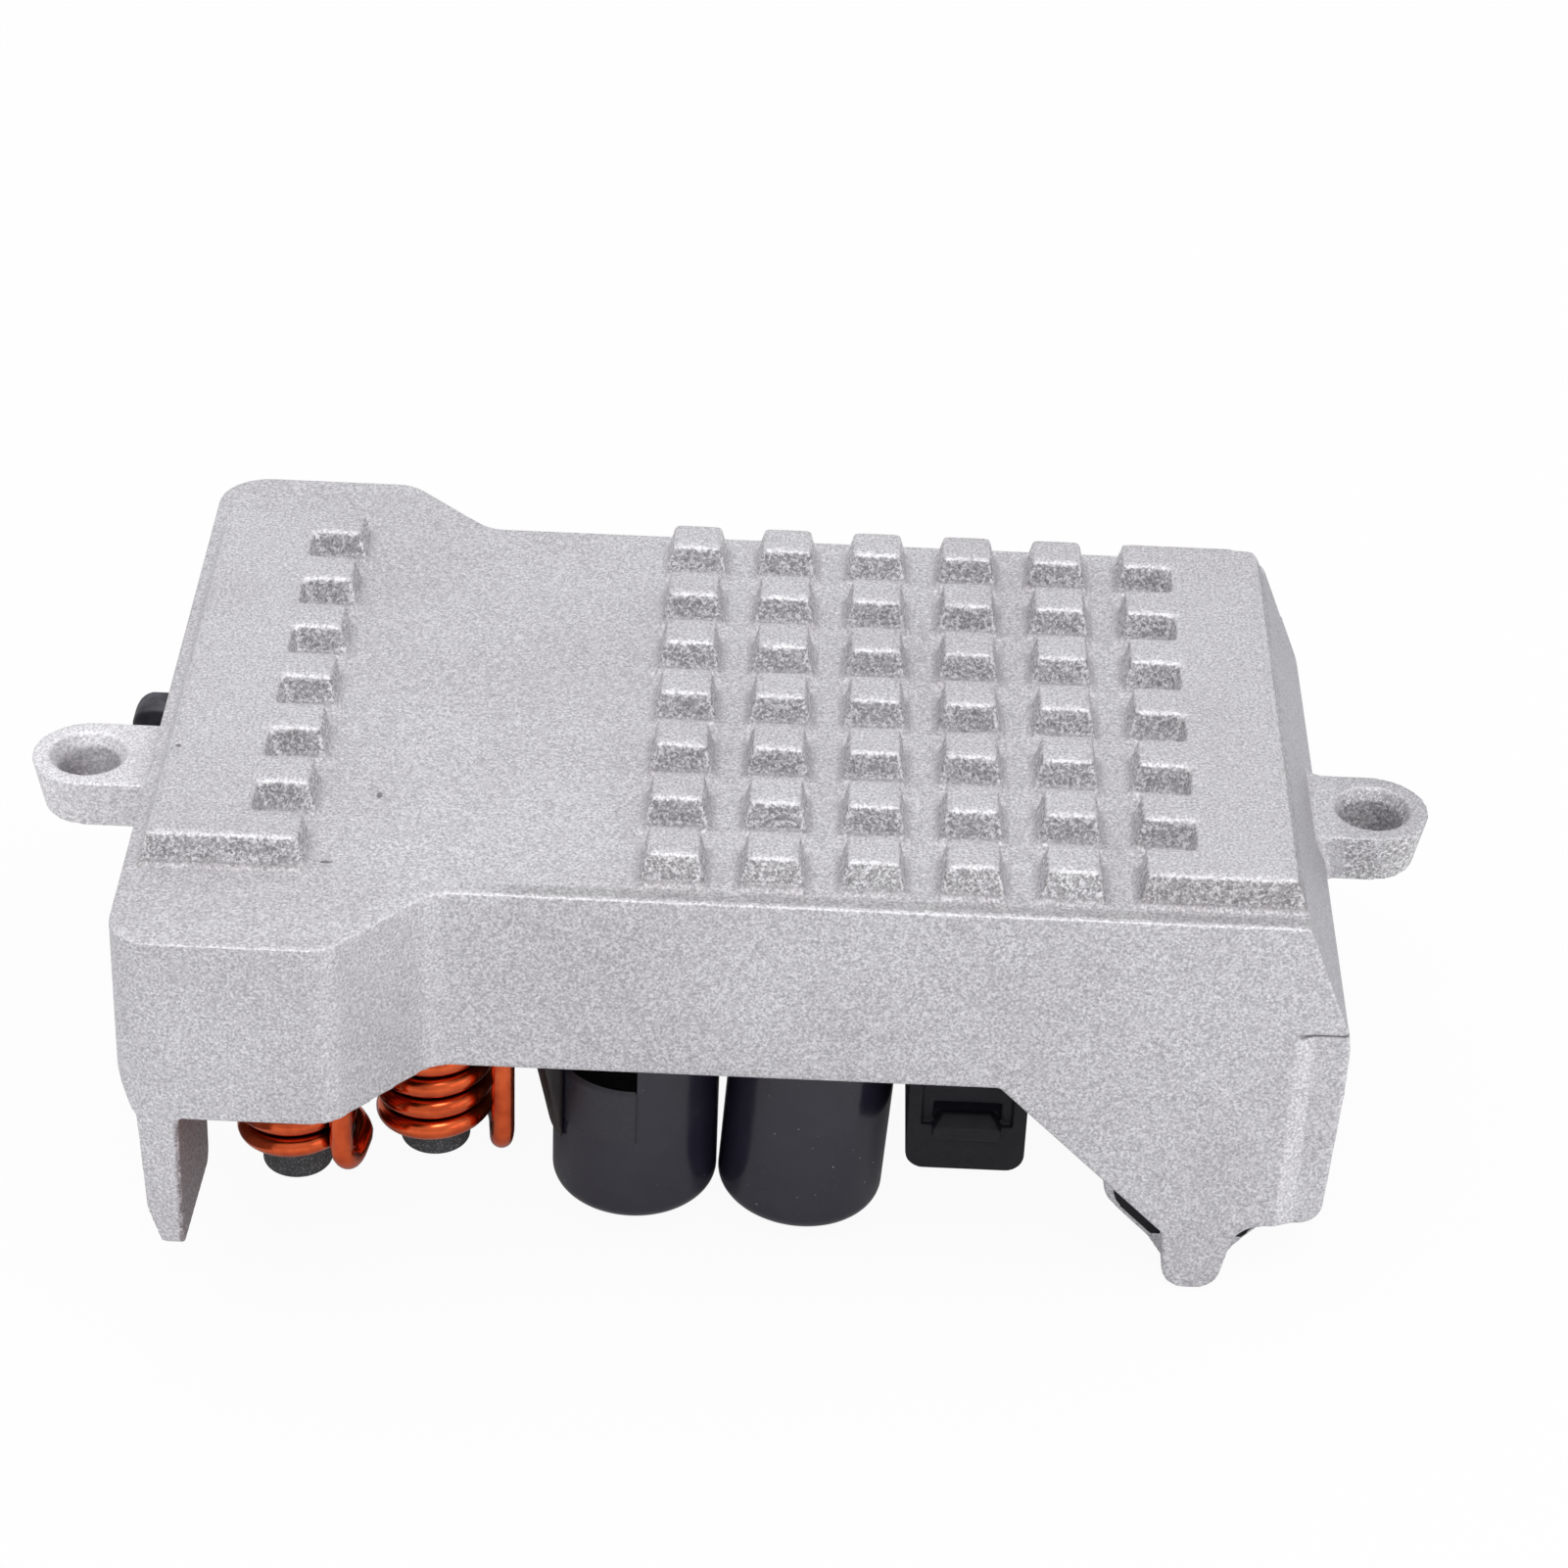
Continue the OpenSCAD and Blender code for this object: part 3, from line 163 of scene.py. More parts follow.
class Shader:
    """A node material with short calls for the nodes that these surfaces need."""

    def __init__(self, name):
        self.material = bpy.data.materials.new(name)
        self.material.use_nodes = True
        self.tree = self.material.node_tree
        self.tree.nodes.clear()
        self.out = self.tree.nodes.new("ShaderNodeOutputMaterial")
        self.bsdf = self.tree.nodes.new("ShaderNodeBsdfPrincipled")
        self.tree.links.new(self.bsdf.outputs["BSDF"], self.out.inputs["Surface"])
        self.place = self.tree.nodes.new("ShaderNodeTexCoord").outputs["Object"]
        self.at = split(self.tree, self.place)
        self.normal = split(self.tree, self.tree.nodes.new("ShaderNodeNewGeometry").outputs["Normal"])

    def set(self, **values):
        for key, value in values.items():
            self.bsdf.inputs[key.replace("_", " ")].default_value = value
        return self

    def link(self, output, input_name):
        self.tree.links.new(output, self.bsdf.inputs[input_name])

    def feed(self, value, socket):
        """Link a node's output to a socket, or set a plain value there."""
        if isinstance(value, bpy.types.NodeSocket):
            self.tree.links.new(value, socket)
        else:
            socket.default_value = value

    def noise(self, size_mm, detail=3.0, rough=0.5, distortion=0.0):
        """Noise whose features are about size_mm across, as a 0 to 1 value."""
        node = self.tree.nodes.new("ShaderNodeTexNoise")
        node.inputs["Scale"].default_value = 1 / (size_mm * MM)
        node.inputs["Detail"].default_value = detail
        node.inputs["Roughness"].default_value = rough
        node.inputs["Distortion"].default_value = distortion
        self.tree.links.new(self.place, node.inputs["Vector"])
        return node.outputs["Fac"]

    def ramp(self, value, stops):
        return colour_ramp(self.tree, value, stops)

    def mix(self, a, b, factor, kind="MIX"):
        node = self.tree.nodes.new("ShaderNodeMix")
        node.data_type = "RGBA"
        node.blend_type = kind
        for key, socket_type, value in (("Factor", "VALUE", factor), ("A", "RGBA", a), ("B", "RGBA", b)):
            self.feed(value, next(s for s in node.inputs if s.name == key and s.type == socket_type))
        return next(s for s in node.outputs if s.type == "RGBA")

    def math(self, operation, a, b=0.0):
        node = self.tree.nodes.new("ShaderNodeMath")
        node.operation = operation
        for socket, value in zip(node.inputs, (a, b)):
            self.feed(value, socket)
        return node.outputs[0]

    def product(self, *values):
        result = values[0]
        for value in values[1:]:
            result = self.math("MULTIPLY", result, value)
        return result

    def greatest(self, *values):
        result = values[0]
        for value in values[1:]:
            result = self.math("MAXIMUM", result, value)
        return result

    def between(self, value, low, high):
        """0 up to low, 1 from high on and a straight line in between; low may be the larger one."""
        return map_range(self.tree, value, low, high)

    def inside(self, value, low, high, edge):
        """1 from low to high, falling to 0 within edge on both sides."""
        return self.product(self.between(value, low - edge, low), self.between(value, high + edge, high))

    def rise(self, axis, low, high):
        """The same as between, for a place along one of the part's axes in millimetres."""
        return self.between(self.at[axis], low * MM, high * MM)

    def band(self, axis, low, high, edge):
        """The same as inside, for a place along one of the part's axes in millimetres."""
        return self.inside(self.at[axis], low * MM, high * MM, edge * MM)

    def facing(self, axis, low, high):
        """The same as between, for the surface normal's share along one of the axes."""
        return self.between(self.normal[axis], low, high)

    def steepness(self):
        """0 on faces that look up or down, 1 on upright ones."""
        return self.between(self.math("ABSOLUTE", self.normal["Z"]), 0.85, 0.45)

    def bump(self, height, depth_mm, strength):
        node = self.tree.nodes.new("ShaderNodeBump")
        node.inputs["Strength"].default_value = strength
        node.inputs["Distance"].default_value = depth_mm * MM
        self.tree.links.new(height, node.inputs["Height"])
        self.link(node.outputs["Normal"], "Normal")


# Small casting pits as x, y, half length in x and half length in y, in millimetres
PITS = (
    (24.6, -3.4, 0.5, 0.25),
    (-56.4, -16.8, 0.3, 0.25),
    (-35.6, -19.0, 0.3, 0.6),
    (-39.7, -31.3, 0.6, 0.25),
)
# Left, front and lower limit of the region that holds the right end's slope, in millimetres
SLOPE_X = 54.0
SLOPE_Y = -30.0
SLOPE_Z = 8.0
# Left limit of the painted shade strip along the front edge, in millimetres
BAR_X = 40.0
BAR_Y = -29.0
# Left limit of the duller strip along the front edge, in millimetres
STRIP_X = -27.0
# Direction in plan that the front shoulder looks
SHOULDER_OUT = (0.75, -0.66)


def pits(shader):
    """Small pits in the casting's upper faces, not modelled as hollows, shown as spots of painted shade."""
    spots = []
    for x, y, half_x, half_y in PITS:
        across = shader.product(shader.math("SUBTRACT", shader.at["X"], x * MM), 1 / (half_x * MM))
        along = shader.product(shader.math("SUBTRACT", shader.at["Y"], y * MM), 1 / (half_y * MM))
        reach = shader.math("ADD", shader.product(across, across), shader.product(along, along))
        spots.append(shader.between(reach, 1.6, 0.5))
    return shader.product(shader.greatest(*spots), shader.rise("Z", PLATE - 1.0, PLATE - 0.5))


def worn_and_lit_edges(shader):
    """Upright edges of pins, and the rounds along the pins' tops and the front wall, to be lightened partly
    as wear and partly as painted highlight.
    """
    rounded = shader.inside(shader.normal["Z"], 0.54, 0.86, 0.1)
    pin_tops = shader.rise("Z", PIN_TOP - 1.4, PIN_TOP - 0.8)
    front = shader.product(shader.band("Z", PLATE - 0.8, PLATE + 0.3, 0.2),
                           shader.rise("Y", NARROW_FRONT + 2.0, NARROW_FRONT + 1.4))
    along_tops = shader.product(rounded, shader.greatest(pin_tops, front))
    aside = shader.math("ABSOLUTE", shader.normal["X"])
    upright = shader.product(shader.inside(aside, 0.4, 0.8, 0.12), shader.facing("Y", -0.25, -0.45),
                             shader.rise("Z", PLATE + 0.2, PLATE + 0.6), 1.5)
    return shader.product(shader.greatest(along_tops, upright), 0.4)


def pin_walls(shader):
    """Everything that stands on the plate."""
    return shader.rise("Z", PLATE + 0.3, PLATE + 1.0)


def pin_feet(shader):
    """The shaded fillets in front of the feet of pins and combs."""
    return shader.product(shader.inside(shader.normal["Z"], 0.45, 0.96, 0.04),
                          shader.facing("Y", -0.2, -0.35),
                          shader.band("Z", PLATE + 0.05, PLATE + 0.8, 0.15))


def right_slope_shade(shader):
    """Painted shade on the slope at the right end."""
    return shader.product(shader.facing("X", 0.78, 0.9), shader.facing("Z", 0.2, 0.3),
                          shader.rise("X", SLOPE_X, SLOPE_X + 1.5))


def right_bar_shade(shader):
    """Painted shade on the front wall of the right comb's bar."""
    return shader.product(shader.rise("X", BAR_X, BAR_X + 2), shader.rise("Y", BAR_Y, BAR_Y - 2),
                          shader.rise("Z", PLATE + 0.2, PLATE + 0.6), shader.steepness())


def left_lug(shader):
    return shader.rise("X", BODY_LEFT - 1.2, BODY_LEFT - 4.2)


def right_lug(shader):
    return shader.rise("X", BODY_RIGHT + 0.5, BODY_RIGHT + 1.7)


def right_lug_top(shader):
    return shader.product(shader.facing("Z", 0.8, 0.95), shader.rise("X", BODY_RIGHT + 0.2, BODY_RIGHT + 1.7))


def lug_bores(shader):
    """The shaded depth of the two lug holes."""
    aside = shader.math("SUBTRACT", shader.math("ABSOLUTE", shader.at["X"]), LUG_X * MM)
    reach = shader.math("ADD", shader.product(aside, aside), shader.product(shader.at["Y"], shader.at["Y"]))
    within = shader.between(reach, ((LUG_HOLE_R + 0.6) * MM) ** 2, ((LUG_HOLE_R + 0.2) * MM) ** 2)
    return shader.product(within, shader.rise("Z", LUG_TOP - 1.2, LUG_TOP - 4.5))


def shoulder(shader):
    """The faces that look to the right and forward, as the front shoulder does; painted light brightens them.
    """
    x_share, y_share = SHOULDER_OUT
    outward = shader.math("ADD", shader.product(shader.normal["X"], x_share),
                          shader.product(shader.normal["Y"], y_share))
    return shader.between(outward, 0.76, 0.97)


def flange_face(shader):
    return shader.rise("Y", NARROW_FRONT + 1.4, NARROW_FRONT + 1.2)


def pad_ledge_shadow(shader):
    """A painted shadow: a dark line under the upper ledge of the recess in the right flange's corner."""
    return shader.product(shader.band("X", BODY_RIGHT - 4.7, BODY_RIGHT - 0.7, 1.2),
                          shader.band("Z", PAD_TOP - 0.45, PAD_TOP - 0.05, 0.25), flange_face(shader))


def pad_bevel_light(shader):
    """Painted light: the bevel beside that recess made paler."""
    return shader.product(shader.band("X", BODY_RIGHT - 5.4, BODY_RIGHT - 3.9, 0.5),
                          shader.rise("Z", PAD_TOP, PAD_TOP - 0.7), flange_face(shader))


def front_strip_shade(shader):
    """Painted shade on the strip of plate between the first row of pins and the front edge."""
    return shader.product(shader.rise("X", STRIP_X, STRIP_X + 7),
                          shader.band("Y", NARROW_FRONT + 0.7, NARROW_FRONT + 1.8, 0.4),
                          shader.rise("Z", PLATE + 0.4, PLATE + 0.1),
                          shader.rise("Z", PLATE - 0.3, PLATE - 0.1))


def leg_side(shader):
    """The inner side of the front left leg, given coarser grain and painted shade."""
    return shader.product(shader.band("X", LEG_SIDE - 0.3, LEG_SIDE + 0.3, 0.3),
                          shader.rise("Z", WALL_FOOT, WALL_FOOT - 1))


# Where the casting's colour is made darker or lighter than the rest, with the factor for its colour; most of
# these are painted light and shade
CASTING_TONES = (
    (pad_ledge_shadow, (0.3, 0.29, 0.3)),
    (pad_bevel_light, (1.12, 1.12, 1.12)),
    # Painted light: the left lug made brighter.
    (left_lug, (1.3, 1.3, 1.3)),
    (shoulder, (1.12, 1.12, 1.12)),
    (lug_bores, (0.6, 0.59, 0.6)),
    (pin_feet, (0.8, 0.79, 0.79)),
    (right_slope_shade, (0.75, 0.75, 0.77)),
    (right_lug_top, (0.89, 0.89, 0.9)),
    (right_bar_shade, (0.84, 0.83, 0.83)),
    (pits, (0.4, 0.39, 0.39)),
    (front_strip_shade, (0.8, 0.8, 0.79)),
    # Painted shade on the leg's inner side.
    (leg_side, (0.62, 0.57, 0.58)),
)


def cast_aluminium():
    """Bead-blasted die casting: a fine wormy relief, coarser on the pins' sides, bright on edges partly as
    wear and partly as painted highlight, with painted light and shade in places.
    """
    shader = Shader("cast_aluminium").set(Metallic=0.8, IOR=1.45)
    rough_spots = shader.greatest(pin_walls(shader), right_lug(shader), leg_side(shader),
                                  shader.product(left_lug(shader), 0.5))
    coarse = shader.product(rough_spots, shader.steepness())
    grain = shader.noise(0.27, detail=1.5, rough=0.6, distortion=0.6)
    sparkle = shader.noise(0.36, detail=1.6, rough=0.6, distortion=0.9)
    clouds = shader.noise(19, detail=3, rough=0.5)
    fine_tone = shader.ramp(grain, [
        (0.32, (0.46, 0.45, 0.47)), (0.5, (0.65, 0.64, 0.67)), (0.68, (0.88, 0.87, 0.90))])
    coarse_tone = shader.ramp(sparkle, [
        (0.35, (0.33, 0.32, 0.33)), (0.5, (0.56, 0.55, 0.57)), (0.65, (0.98, 0.97, 1.0))])
    stain = shader.ramp(clouds, [(0.35, (0.93, 0.925, 0.925)), (0.6, (1, 1, 1))])
    tone = shader.mix(fine_tone, coarse_tone, coarse)
    tone = shader.mix(tone, stain, 1.0, "MULTIPLY")
    # Edges lightened partly as wear and partly as painted highlight.
    edge_glint_and_wear = shader.product(worn_and_lit_edges(shader), shader.between(sparkle, 0.40, 0.58))
    tone = shader.mix(tone, (1, 0.99, 1, 1), edge_glint_and_wear)
    for mask, factor in CASTING_TONES:
        tone = shader.mix(tone, (*factor, 1), mask(shader), "MULTIPLY")
    shader.link(tone, "Base Color")
    shader.link(shader.ramp(grain, [(0.3, 0.62), (0.7, 0.48)]), "Roughness")
    shader.bump(shader.mix(grain, sparkle, coarse), 0.10, 0.6)
    return shader.material


def moulded_black():
    """Matte black moulding with a faint spark-eroded grain, paler on the side socket's top and front as dust
    and painted light, with painted shade in the pocket above the front socket's nib.
    """
    shader = Shader("moulded_black").set(IOR=1.35)
    grain = shader.noise(0.16, detail=2)
    dust = shader.noise(2.2, detail=4, rough=0.6)
    black = shader.ramp(dust, [(0.4, (0.004, 0.0034, 0.0062)), (0.75, (0.0075, 0.0068, 0.0105))])
    side_socket = shader.rise("X", BODY_LEFT + 5.8, BODY_LEFT + 1.8)
    # Dust on the side socket, with painted light: its top and, less, its front made paler.
    dust_and_light = shader.product(shader.facing("Z", -0.5, 0.9), side_socket, shader.between(dust, 0.2, 0.7), 0.65)
    shader.link(shader.mix(black, (0.15, 0.145, 0.172, 1), dust_and_light), "Base Color")
    # Painted shade: the sheen is taken off the pocket above the front socket's nib.
    nib_pocket_shade = shader.product(shader.band("X", SOCKET_X - 3, SOCKET_X + 3, 1.2),
                               shader.band("Z", NIB_TOP + 0.5, NIB_TOP + 1.5, 1.6),
                               shader.rise("Y", NIB_POCKET_Y - 0.45, NIB_POCKET_Y - 0.15))
    shader.link(shader.ramp(nib_pocket_shade, [(0.0, 0.5), (0.8, 0.06)]), "Specular IOR Level")
    shader.link(shader.ramp(grain, [(0.3, 0.5), (0.7, 0.66)]), "Roughness")
    shader.bump(grain, 0.03, 0.4)
    return shader.material


def vinyl_sleeve():
    """Shrunk black sleeve with a slight blue cast, low ripples and specks of dust."""
    shader = Shader("vinyl_sleeve").set(IOR=1.52)
    ripple = shader.noise(6.5, detail=1.5, rough=0.4)
    haze = shader.noise(4.0, detail=3)
    dust = shader.noise(0.5, detail=1)
    sleeve = shader.ramp(haze, [(0.35, (0.0155, 0.014, 0.026)), (0.7, (0.0185, 0.017, 0.030))])
    speck = shader.ramp(dust, [(0.79, 0.0), (0.83, 0.5)])
    shader.link(shader.mix(sleeve, (0.5, 0.5, 0.55, 1), speck), "Base Color")
    shader.link(shader.ramp(haze, [(0.3, 0.17), (0.7, 0.22)]), "Roughness")
    shader.bump(ripple, 0.05, 0.25)
    return shader.material


def torn_shade():
    """Painted shade for the inside of a tear: near black and hardly glossy."""
    shader = Shader("torn_shade").set(IOR=1.06)
    grain = shader.noise(0.4, detail=2)
    shader.link(shader.ramp(grain, [(0.3, 0.001), (0.7, 0.003)]), "Base Color")
    shader.link(shader.ramp(grain, [(0.3, 0.8), (0.7, 0.95)]), "Roughness")
    return shader.material


def enamelled_copper():
    """Copper wire under clear amber enamel, with painted shade where turns lie close together."""
    shader = Shader("enamelled_copper").set(
        Metallic=0.95, Coat_Weight=0.25, Coat_Roughness=0.1, Coat_IOR=1.5)
    tone = shader.noise(2.4, detail=3, rough=0.6)
    drawn = shader.noise(0.25, detail=2)
    copper = [(0.3, (0.52, 0.062, 0.012)), (0.6, (0.74, 0.115, 0.028)), (0.8, (0.84, 0.17, 0.048))]
    # Painted shade: the occlusion share darkens the copper in gaps between turns and beside other parts.
    open_share = shader.tree.nodes.new("ShaderNodeAmbientOcclusion")
    open_share.inputs["Distance"].default_value = 5 * MM
    depth = shader.ramp(open_share.outputs["AO"], [(0.2, 0.04), (0.58, 1.0)])
    shader.link(shader.mix(shader.ramp(tone, copper), depth, 1.0, "MULTIPLY"), "Base Color")
    shader.link(shader.ramp(drawn, [(0.3, 0.16), (0.7, 0.24)]), "Roughness")
    shader.bump(drawn, 0.01, 0.15)
    return shader.material


def ferrite():
    """Pressed dark grey ferrite with a salt-and-pepper grain."""
    shader = Shader("ferrite").set(IOR=1.6)
    grain = shader.noise(0.22, detail=3, rough=0.7)
    flecks = [(0.36, (0.010, 0.010, 0.012)), (0.54, (0.026, 0.027, 0.031)), (0.66, (0.17, 0.17, 0.18))]
    shader.link(shader.ramp(grain, flecks), "Base Color")
    shader.link(shader.ramp(grain, [(0.3, 0.7), (0.7, 0.5)]), "Roughness")
    shader.bump(grain, 0.05, 0.5)
    return shader.material


def bare_metal(name, dark, light, rough):
    """Plain plated or rolled metal with a fine grain."""
    shader = Shader(name).set(Metallic=1.0)
    grain = shader.noise(0.3, detail=3, rough=0.6)
    shader.link(shader.ramp(grain, [(0.3, dark), (0.7, light)]), "Base Color")
    shader.link(shader.ramp(grain, [(0.3, rough), (0.7, rough + 0.15)]), "Roughness")
    shader.bump(grain, 0.02, 0.3)
    return shader.material


def plain_grain(name, dark, light, rough, size_mm=0.5):
    """Laminate, moulded package, soft pad or dull sleeve with a slight mottling."""
    shader = Shader(name).set(IOR=1.5)
    grain = shader.noise(size_mm, detail=3, rough=0.6)
    shader.link(shader.ramp(grain, [(0.3, dark), (0.7, light)]), "Base Color")
    shader.link(shader.ramp(grain, [(0.3, rough), (0.7, rough + 0.12)]), "Roughness")
    shader.bump(grain, 0.02, 0.3)
    return shader.material


LOOKS = {
    "cast_aluminium": cast_aluminium(),
    "black_moulding": moulded_black(),
    "capacitor_sleeve": vinyl_sleeve(),
    "copper_wire": enamelled_copper(),
    "ferrite": ferrite(),
    "plated_steel": bare_metal("plated_steel", (0.42, 0.43, 0.45), (0.58, 0.59, 0.61), 0.28),
    "tinned_brass": bare_metal("tinned_brass", (0.55, 0.53, 0.45), (0.7, 0.68, 0.58), 0.25),
    "shunt_alloy": bare_metal("shunt_alloy", (0.36, 0.26, 0.19), (0.48, 0.36, 0.26), 0.35),
    "board_laminate": plain_grain("board_laminate", (0.02, 0.1, 0.045), (0.035, 0.15, 0.07), 0.3, 1.2),
    "epoxy_package": plain_grain("epoxy_package", (0.02, 0.02, 0.022), (0.035, 0.035, 0.038), 0.5),
    "silicone_pad": plain_grain("silicone_pad", (0.45, 0.47, 0.5), (0.55, 0.57, 0.6), 0.7),
    "chip_ceramic": plain_grain("chip_ceramic", (0.38, 0.28, 0.16), (0.5, 0.38, 0.23), 0.55),
}
CAN_METAL = bare_metal("can_metal", (0.6, 0.6, 0.62), (0.72, 0.72, 0.74), 0.3)
TORN_SHADE = torn_shade()
# Sleeve look whose brown tint is a painted reflection of the nearby copper winding.
FLARED_SLEEVE_REFLECTING_COPPER = plain_grain("flared_sleeve_copper_reflection", (0.012, 0.008, 0.0095), (0.02, 0.0135, 0.015), 0.4, 1.5)
SCUFFED_SLEEVE = plain_grain("scuffed_sleeve", (0.016, 0.015, 0.023), (0.027, 0.025, 0.034), 0.38, 0.6)


def dress_nodes():
    """Every carried-over solid takes the look of its material slot."""
    for part in frame["record"]["subparts"]:
        solid = nodes[part["node"]]
        solid.data.materials.clear()
        solid.data.materials.append(LOOKS[part["material_slot"]])


def add_piece(name, mesh, slot, replaces):
    """A piece in place of a solid, with its slot's look where the mesh brings none."""
    piece = bpy.data.objects.new(name, mesh)
    scene.collection.objects.link(piece)
    if not mesh.materials:
        mesh.materials.append(LOOKS[slot])
    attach(piece, "root")
    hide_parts(replaces)
    return piece


def welded_copy(node):
    mesh = bpy.data.meshes.new(node + "_copy")
    work = bmesh.new()
    work.from_mesh(nodes[node].data)
    bmesh.ops.remove_doubles(work, verts=work.verts, dist=0.001 * MM)
    work.to_mesh(mesh)
    work.free()
    return mesh


def through_modifiers(mesh, *settings):
    """The mesh after a list of (modifier kind, {property: value})."""
    holder = bpy.data.objects.new("holder", mesh)
    scene.collection.objects.link(holder)
    for kind, values in settings:
        modifier = holder.modifiers.new(kind.lower(), kind)
        for key, value in values.items():
            setattr(modifier, key, value)
    made = bpy.data.meshes.new_from_object(holder.evaluated_get(bpy.context.evaluated_depsgraph_get()))
    bpy.data.objects.remove(holder)
    return made


def round_off(mesh, passes, where):
    """Wear the chosen part of a mesh rounder."""
    work = bmesh.new()
    work.from_mesh(mesh)
    chosen = [v for v in work.verts if where(v.co / MM)]
    for _ in range(passes):
        bmesh.ops.smooth_vert(
            work, verts=chosen, factor=0.5, use_axis_x=True, use_axis_y=True, use_axis_z=True)
    work.to_mesh(mesh)
    work.free()


def on_pins(spot):
    return spot.z > PLATE + 0.15


def on_slope(spot):
    return spot.x > SLOPE_X + 0.5 and spot.y > SLOPE_Y and spot.z > SLOPE_Z


def softened(node, name, slot, voxel_mm, passes, triangles, rounder=()):
    """A solid whose edges and inner corners are worn round, as a casting's or moulding's are."""
    mesh = through_modifiers(
        welded_copy(node),
        ("REMESH", {"mode": "VOXEL", "voxel_size": voxel_mm * MM, "adaptivity": 0.0}),
        ("SMOOTH", {"factor": 0.5, "iterations": passes}),
    )
    for more_passes, where in rounder:
        round_off(mesh, more_passes, where)
    faces = sum(len(p.vertices) - 2 for p in mesh.polygons)
    mesh = through_modifiers(mesh, ("DECIMATE", {"ratio": min(1.0, triangles / faces)}))
    mesh.polygons.foreach_set("use_smooth", [True] * len(mesh.polygons))
    mesh.materials.clear()
    piece = add_piece(name, mesh, slot, node)
    piece.modifiers.new("normals", "WEIGHTED_NORMAL").weight = 50
    return piece


def smooth_mesh(name, points, faces):
    mesh = bpy.data.meshes.new(name)
    mesh.from_pydata([Vector(p) * MM for p in points], [], faces)
    mesh.polygons.foreach_set("use_smooth", [True] * len(mesh.polygons))
    return mesh


def ring_faces(rings, sides):
    """Faces that join a row of rings and then close its first and last ring."""
    faces = []
    for ring in range(rings - 1):
        for k in range(sides):
            a = ring * sides + k
            b = ring * sides + (k + 1) % sides
            faces.append((a, b, b + sides, a + sides))
    faces.append(tuple(range(sides))[::-1])
    faces.append(tuple(range((rings - 1) * sides, rings * sides)))
    return faces


def lathe(profile, segments, push=None):
    """Points and faces of a profile of (radius, z) turned round Z; push sinks a point by its angle and z."""
    points = []
    for r, z in profile:
        for k in range(segments):
            angle = 2 * math.pi * k / segments
            radius = r - (push(math.degrees(angle), z) if push else 0)
            points.append((radius * math.cos(angle), radius * math.sin(angle), z))
    return points, ring_faces(len(profile), segments)


def tube(path, radius, sides):
    """Points and faces of a round tube along a path, its ring carried on without twist."""
    path = [Vector(p) for p in path]
    points = []
    side = Vector((1, 0, 0))
    for i, spot in enumerate(path):
        along = (path[min(i + 1, len(path) - 1)] - path[max(i - 1, 0)]).normalized()
        side = (side - along * side.dot(along)).normalized()
        up = along.cross(side)
        for k in range(sides):
            angle = 2 * math.pi * k / sides
            points.append(spot + radius * (math.cos(angle) * side + math.sin(angle) * up))
    return points, ring_faces(len(path), sides)


def arc(cx, cz, r, start, stop, steps):
    """Points of an arc in a profile, angles in degrees from +radius toward +z."""
    turns = [math.radians(start + (stop - start) * i / steps) for i in range(steps + 1)]
    return [(cx + r * math.cos(a), cz + r * math.sin(a)) for a in turns]


def rounded_path(points, passes):
    """A polyline whose corners are cut again and again, ends kept."""
    points = [Vector(p) for p in points]
    for _ in range(passes):
        cut = [points[0]]
        for a, b in zip(points, points[1:]):
            cut += [a * 0.75 + b * 0.25, a * 0.25 + b * 0.75]
        points = cut + [points[-1]]
    return points


# Radius left at the axis of a turned piece, in millimetres
AXIS_R = 0.05
# Steps in a turn of a winding, and the share of a turn left out at the board's end
TURN_STEPS = 30
SHORT_TURN = 0.06
WIRE_SIDES = 24
# Angles of a winding's forward bend in degrees, and the angle in which it would make its whole sidestep
BEND_FROM = -20
BEND_TO = 90
BEND_STEP = 10
SIDESTEP_ANGLE = 150
# Rounding of a core's ends, and heights of the rows along its wall, in millimetres
CORE_EDGE = 0.5
CORE_EDGE_STEPS = 6
CORE_ROWS = (2, 4, CORE_L / 2, CORE_L - 2)
CORE_SEGMENTS = 72


def winding_path(axis, lead, foot):
    """Centre line of a winding: down from the board, round the core, forward and up again."""
    top = foot + TURNS * TURN_PITCH
    heights = (LEAD_END, top + 4 * WIRE_R, top + 2 * WIRE_R, top + WIRE_R)
    path = [(axis[0] - COIL_R, axis[1], z) for z in heights]
    first = TURNS - SHORT_TURN
    for i in range(int(first * TURN_STEPS) + 1):
        turn = first - i / TURN_STEPS
        r = COIL_R + (SWELL * (1 - turn / SWELL_TURNS) ** 2 if turn < SWELL_TURNS else 0)
        angle = 2 * math.pi * turn
        path.append((axis[0] + r * math.cos(angle), axis[1] + r * math.sin(angle),
                     foot + turn * TURN_PITCH))
    end = Vector((axis[0] + lead[0], axis[1] + lead[1]))
    aside = lead[0] - COIL_R - SWELL
    for degrees in range(BEND_FROM, BEND_TO + 1, BEND_STEP):
        a = math.radians(degrees)
        path.append((end.x - aside * (BEND_TO - degrees) / SIDESTEP_ANGLE,
                     end.y + BEND_R * (1 - math.sin(a)), foot + BEND_R * (1 - math.cos(a))))
    path += [(end.x, end.y, foot + 2 * BEND_R), (end.x, end.y, LEAD_END)]
    return rounded_path(path, 1)


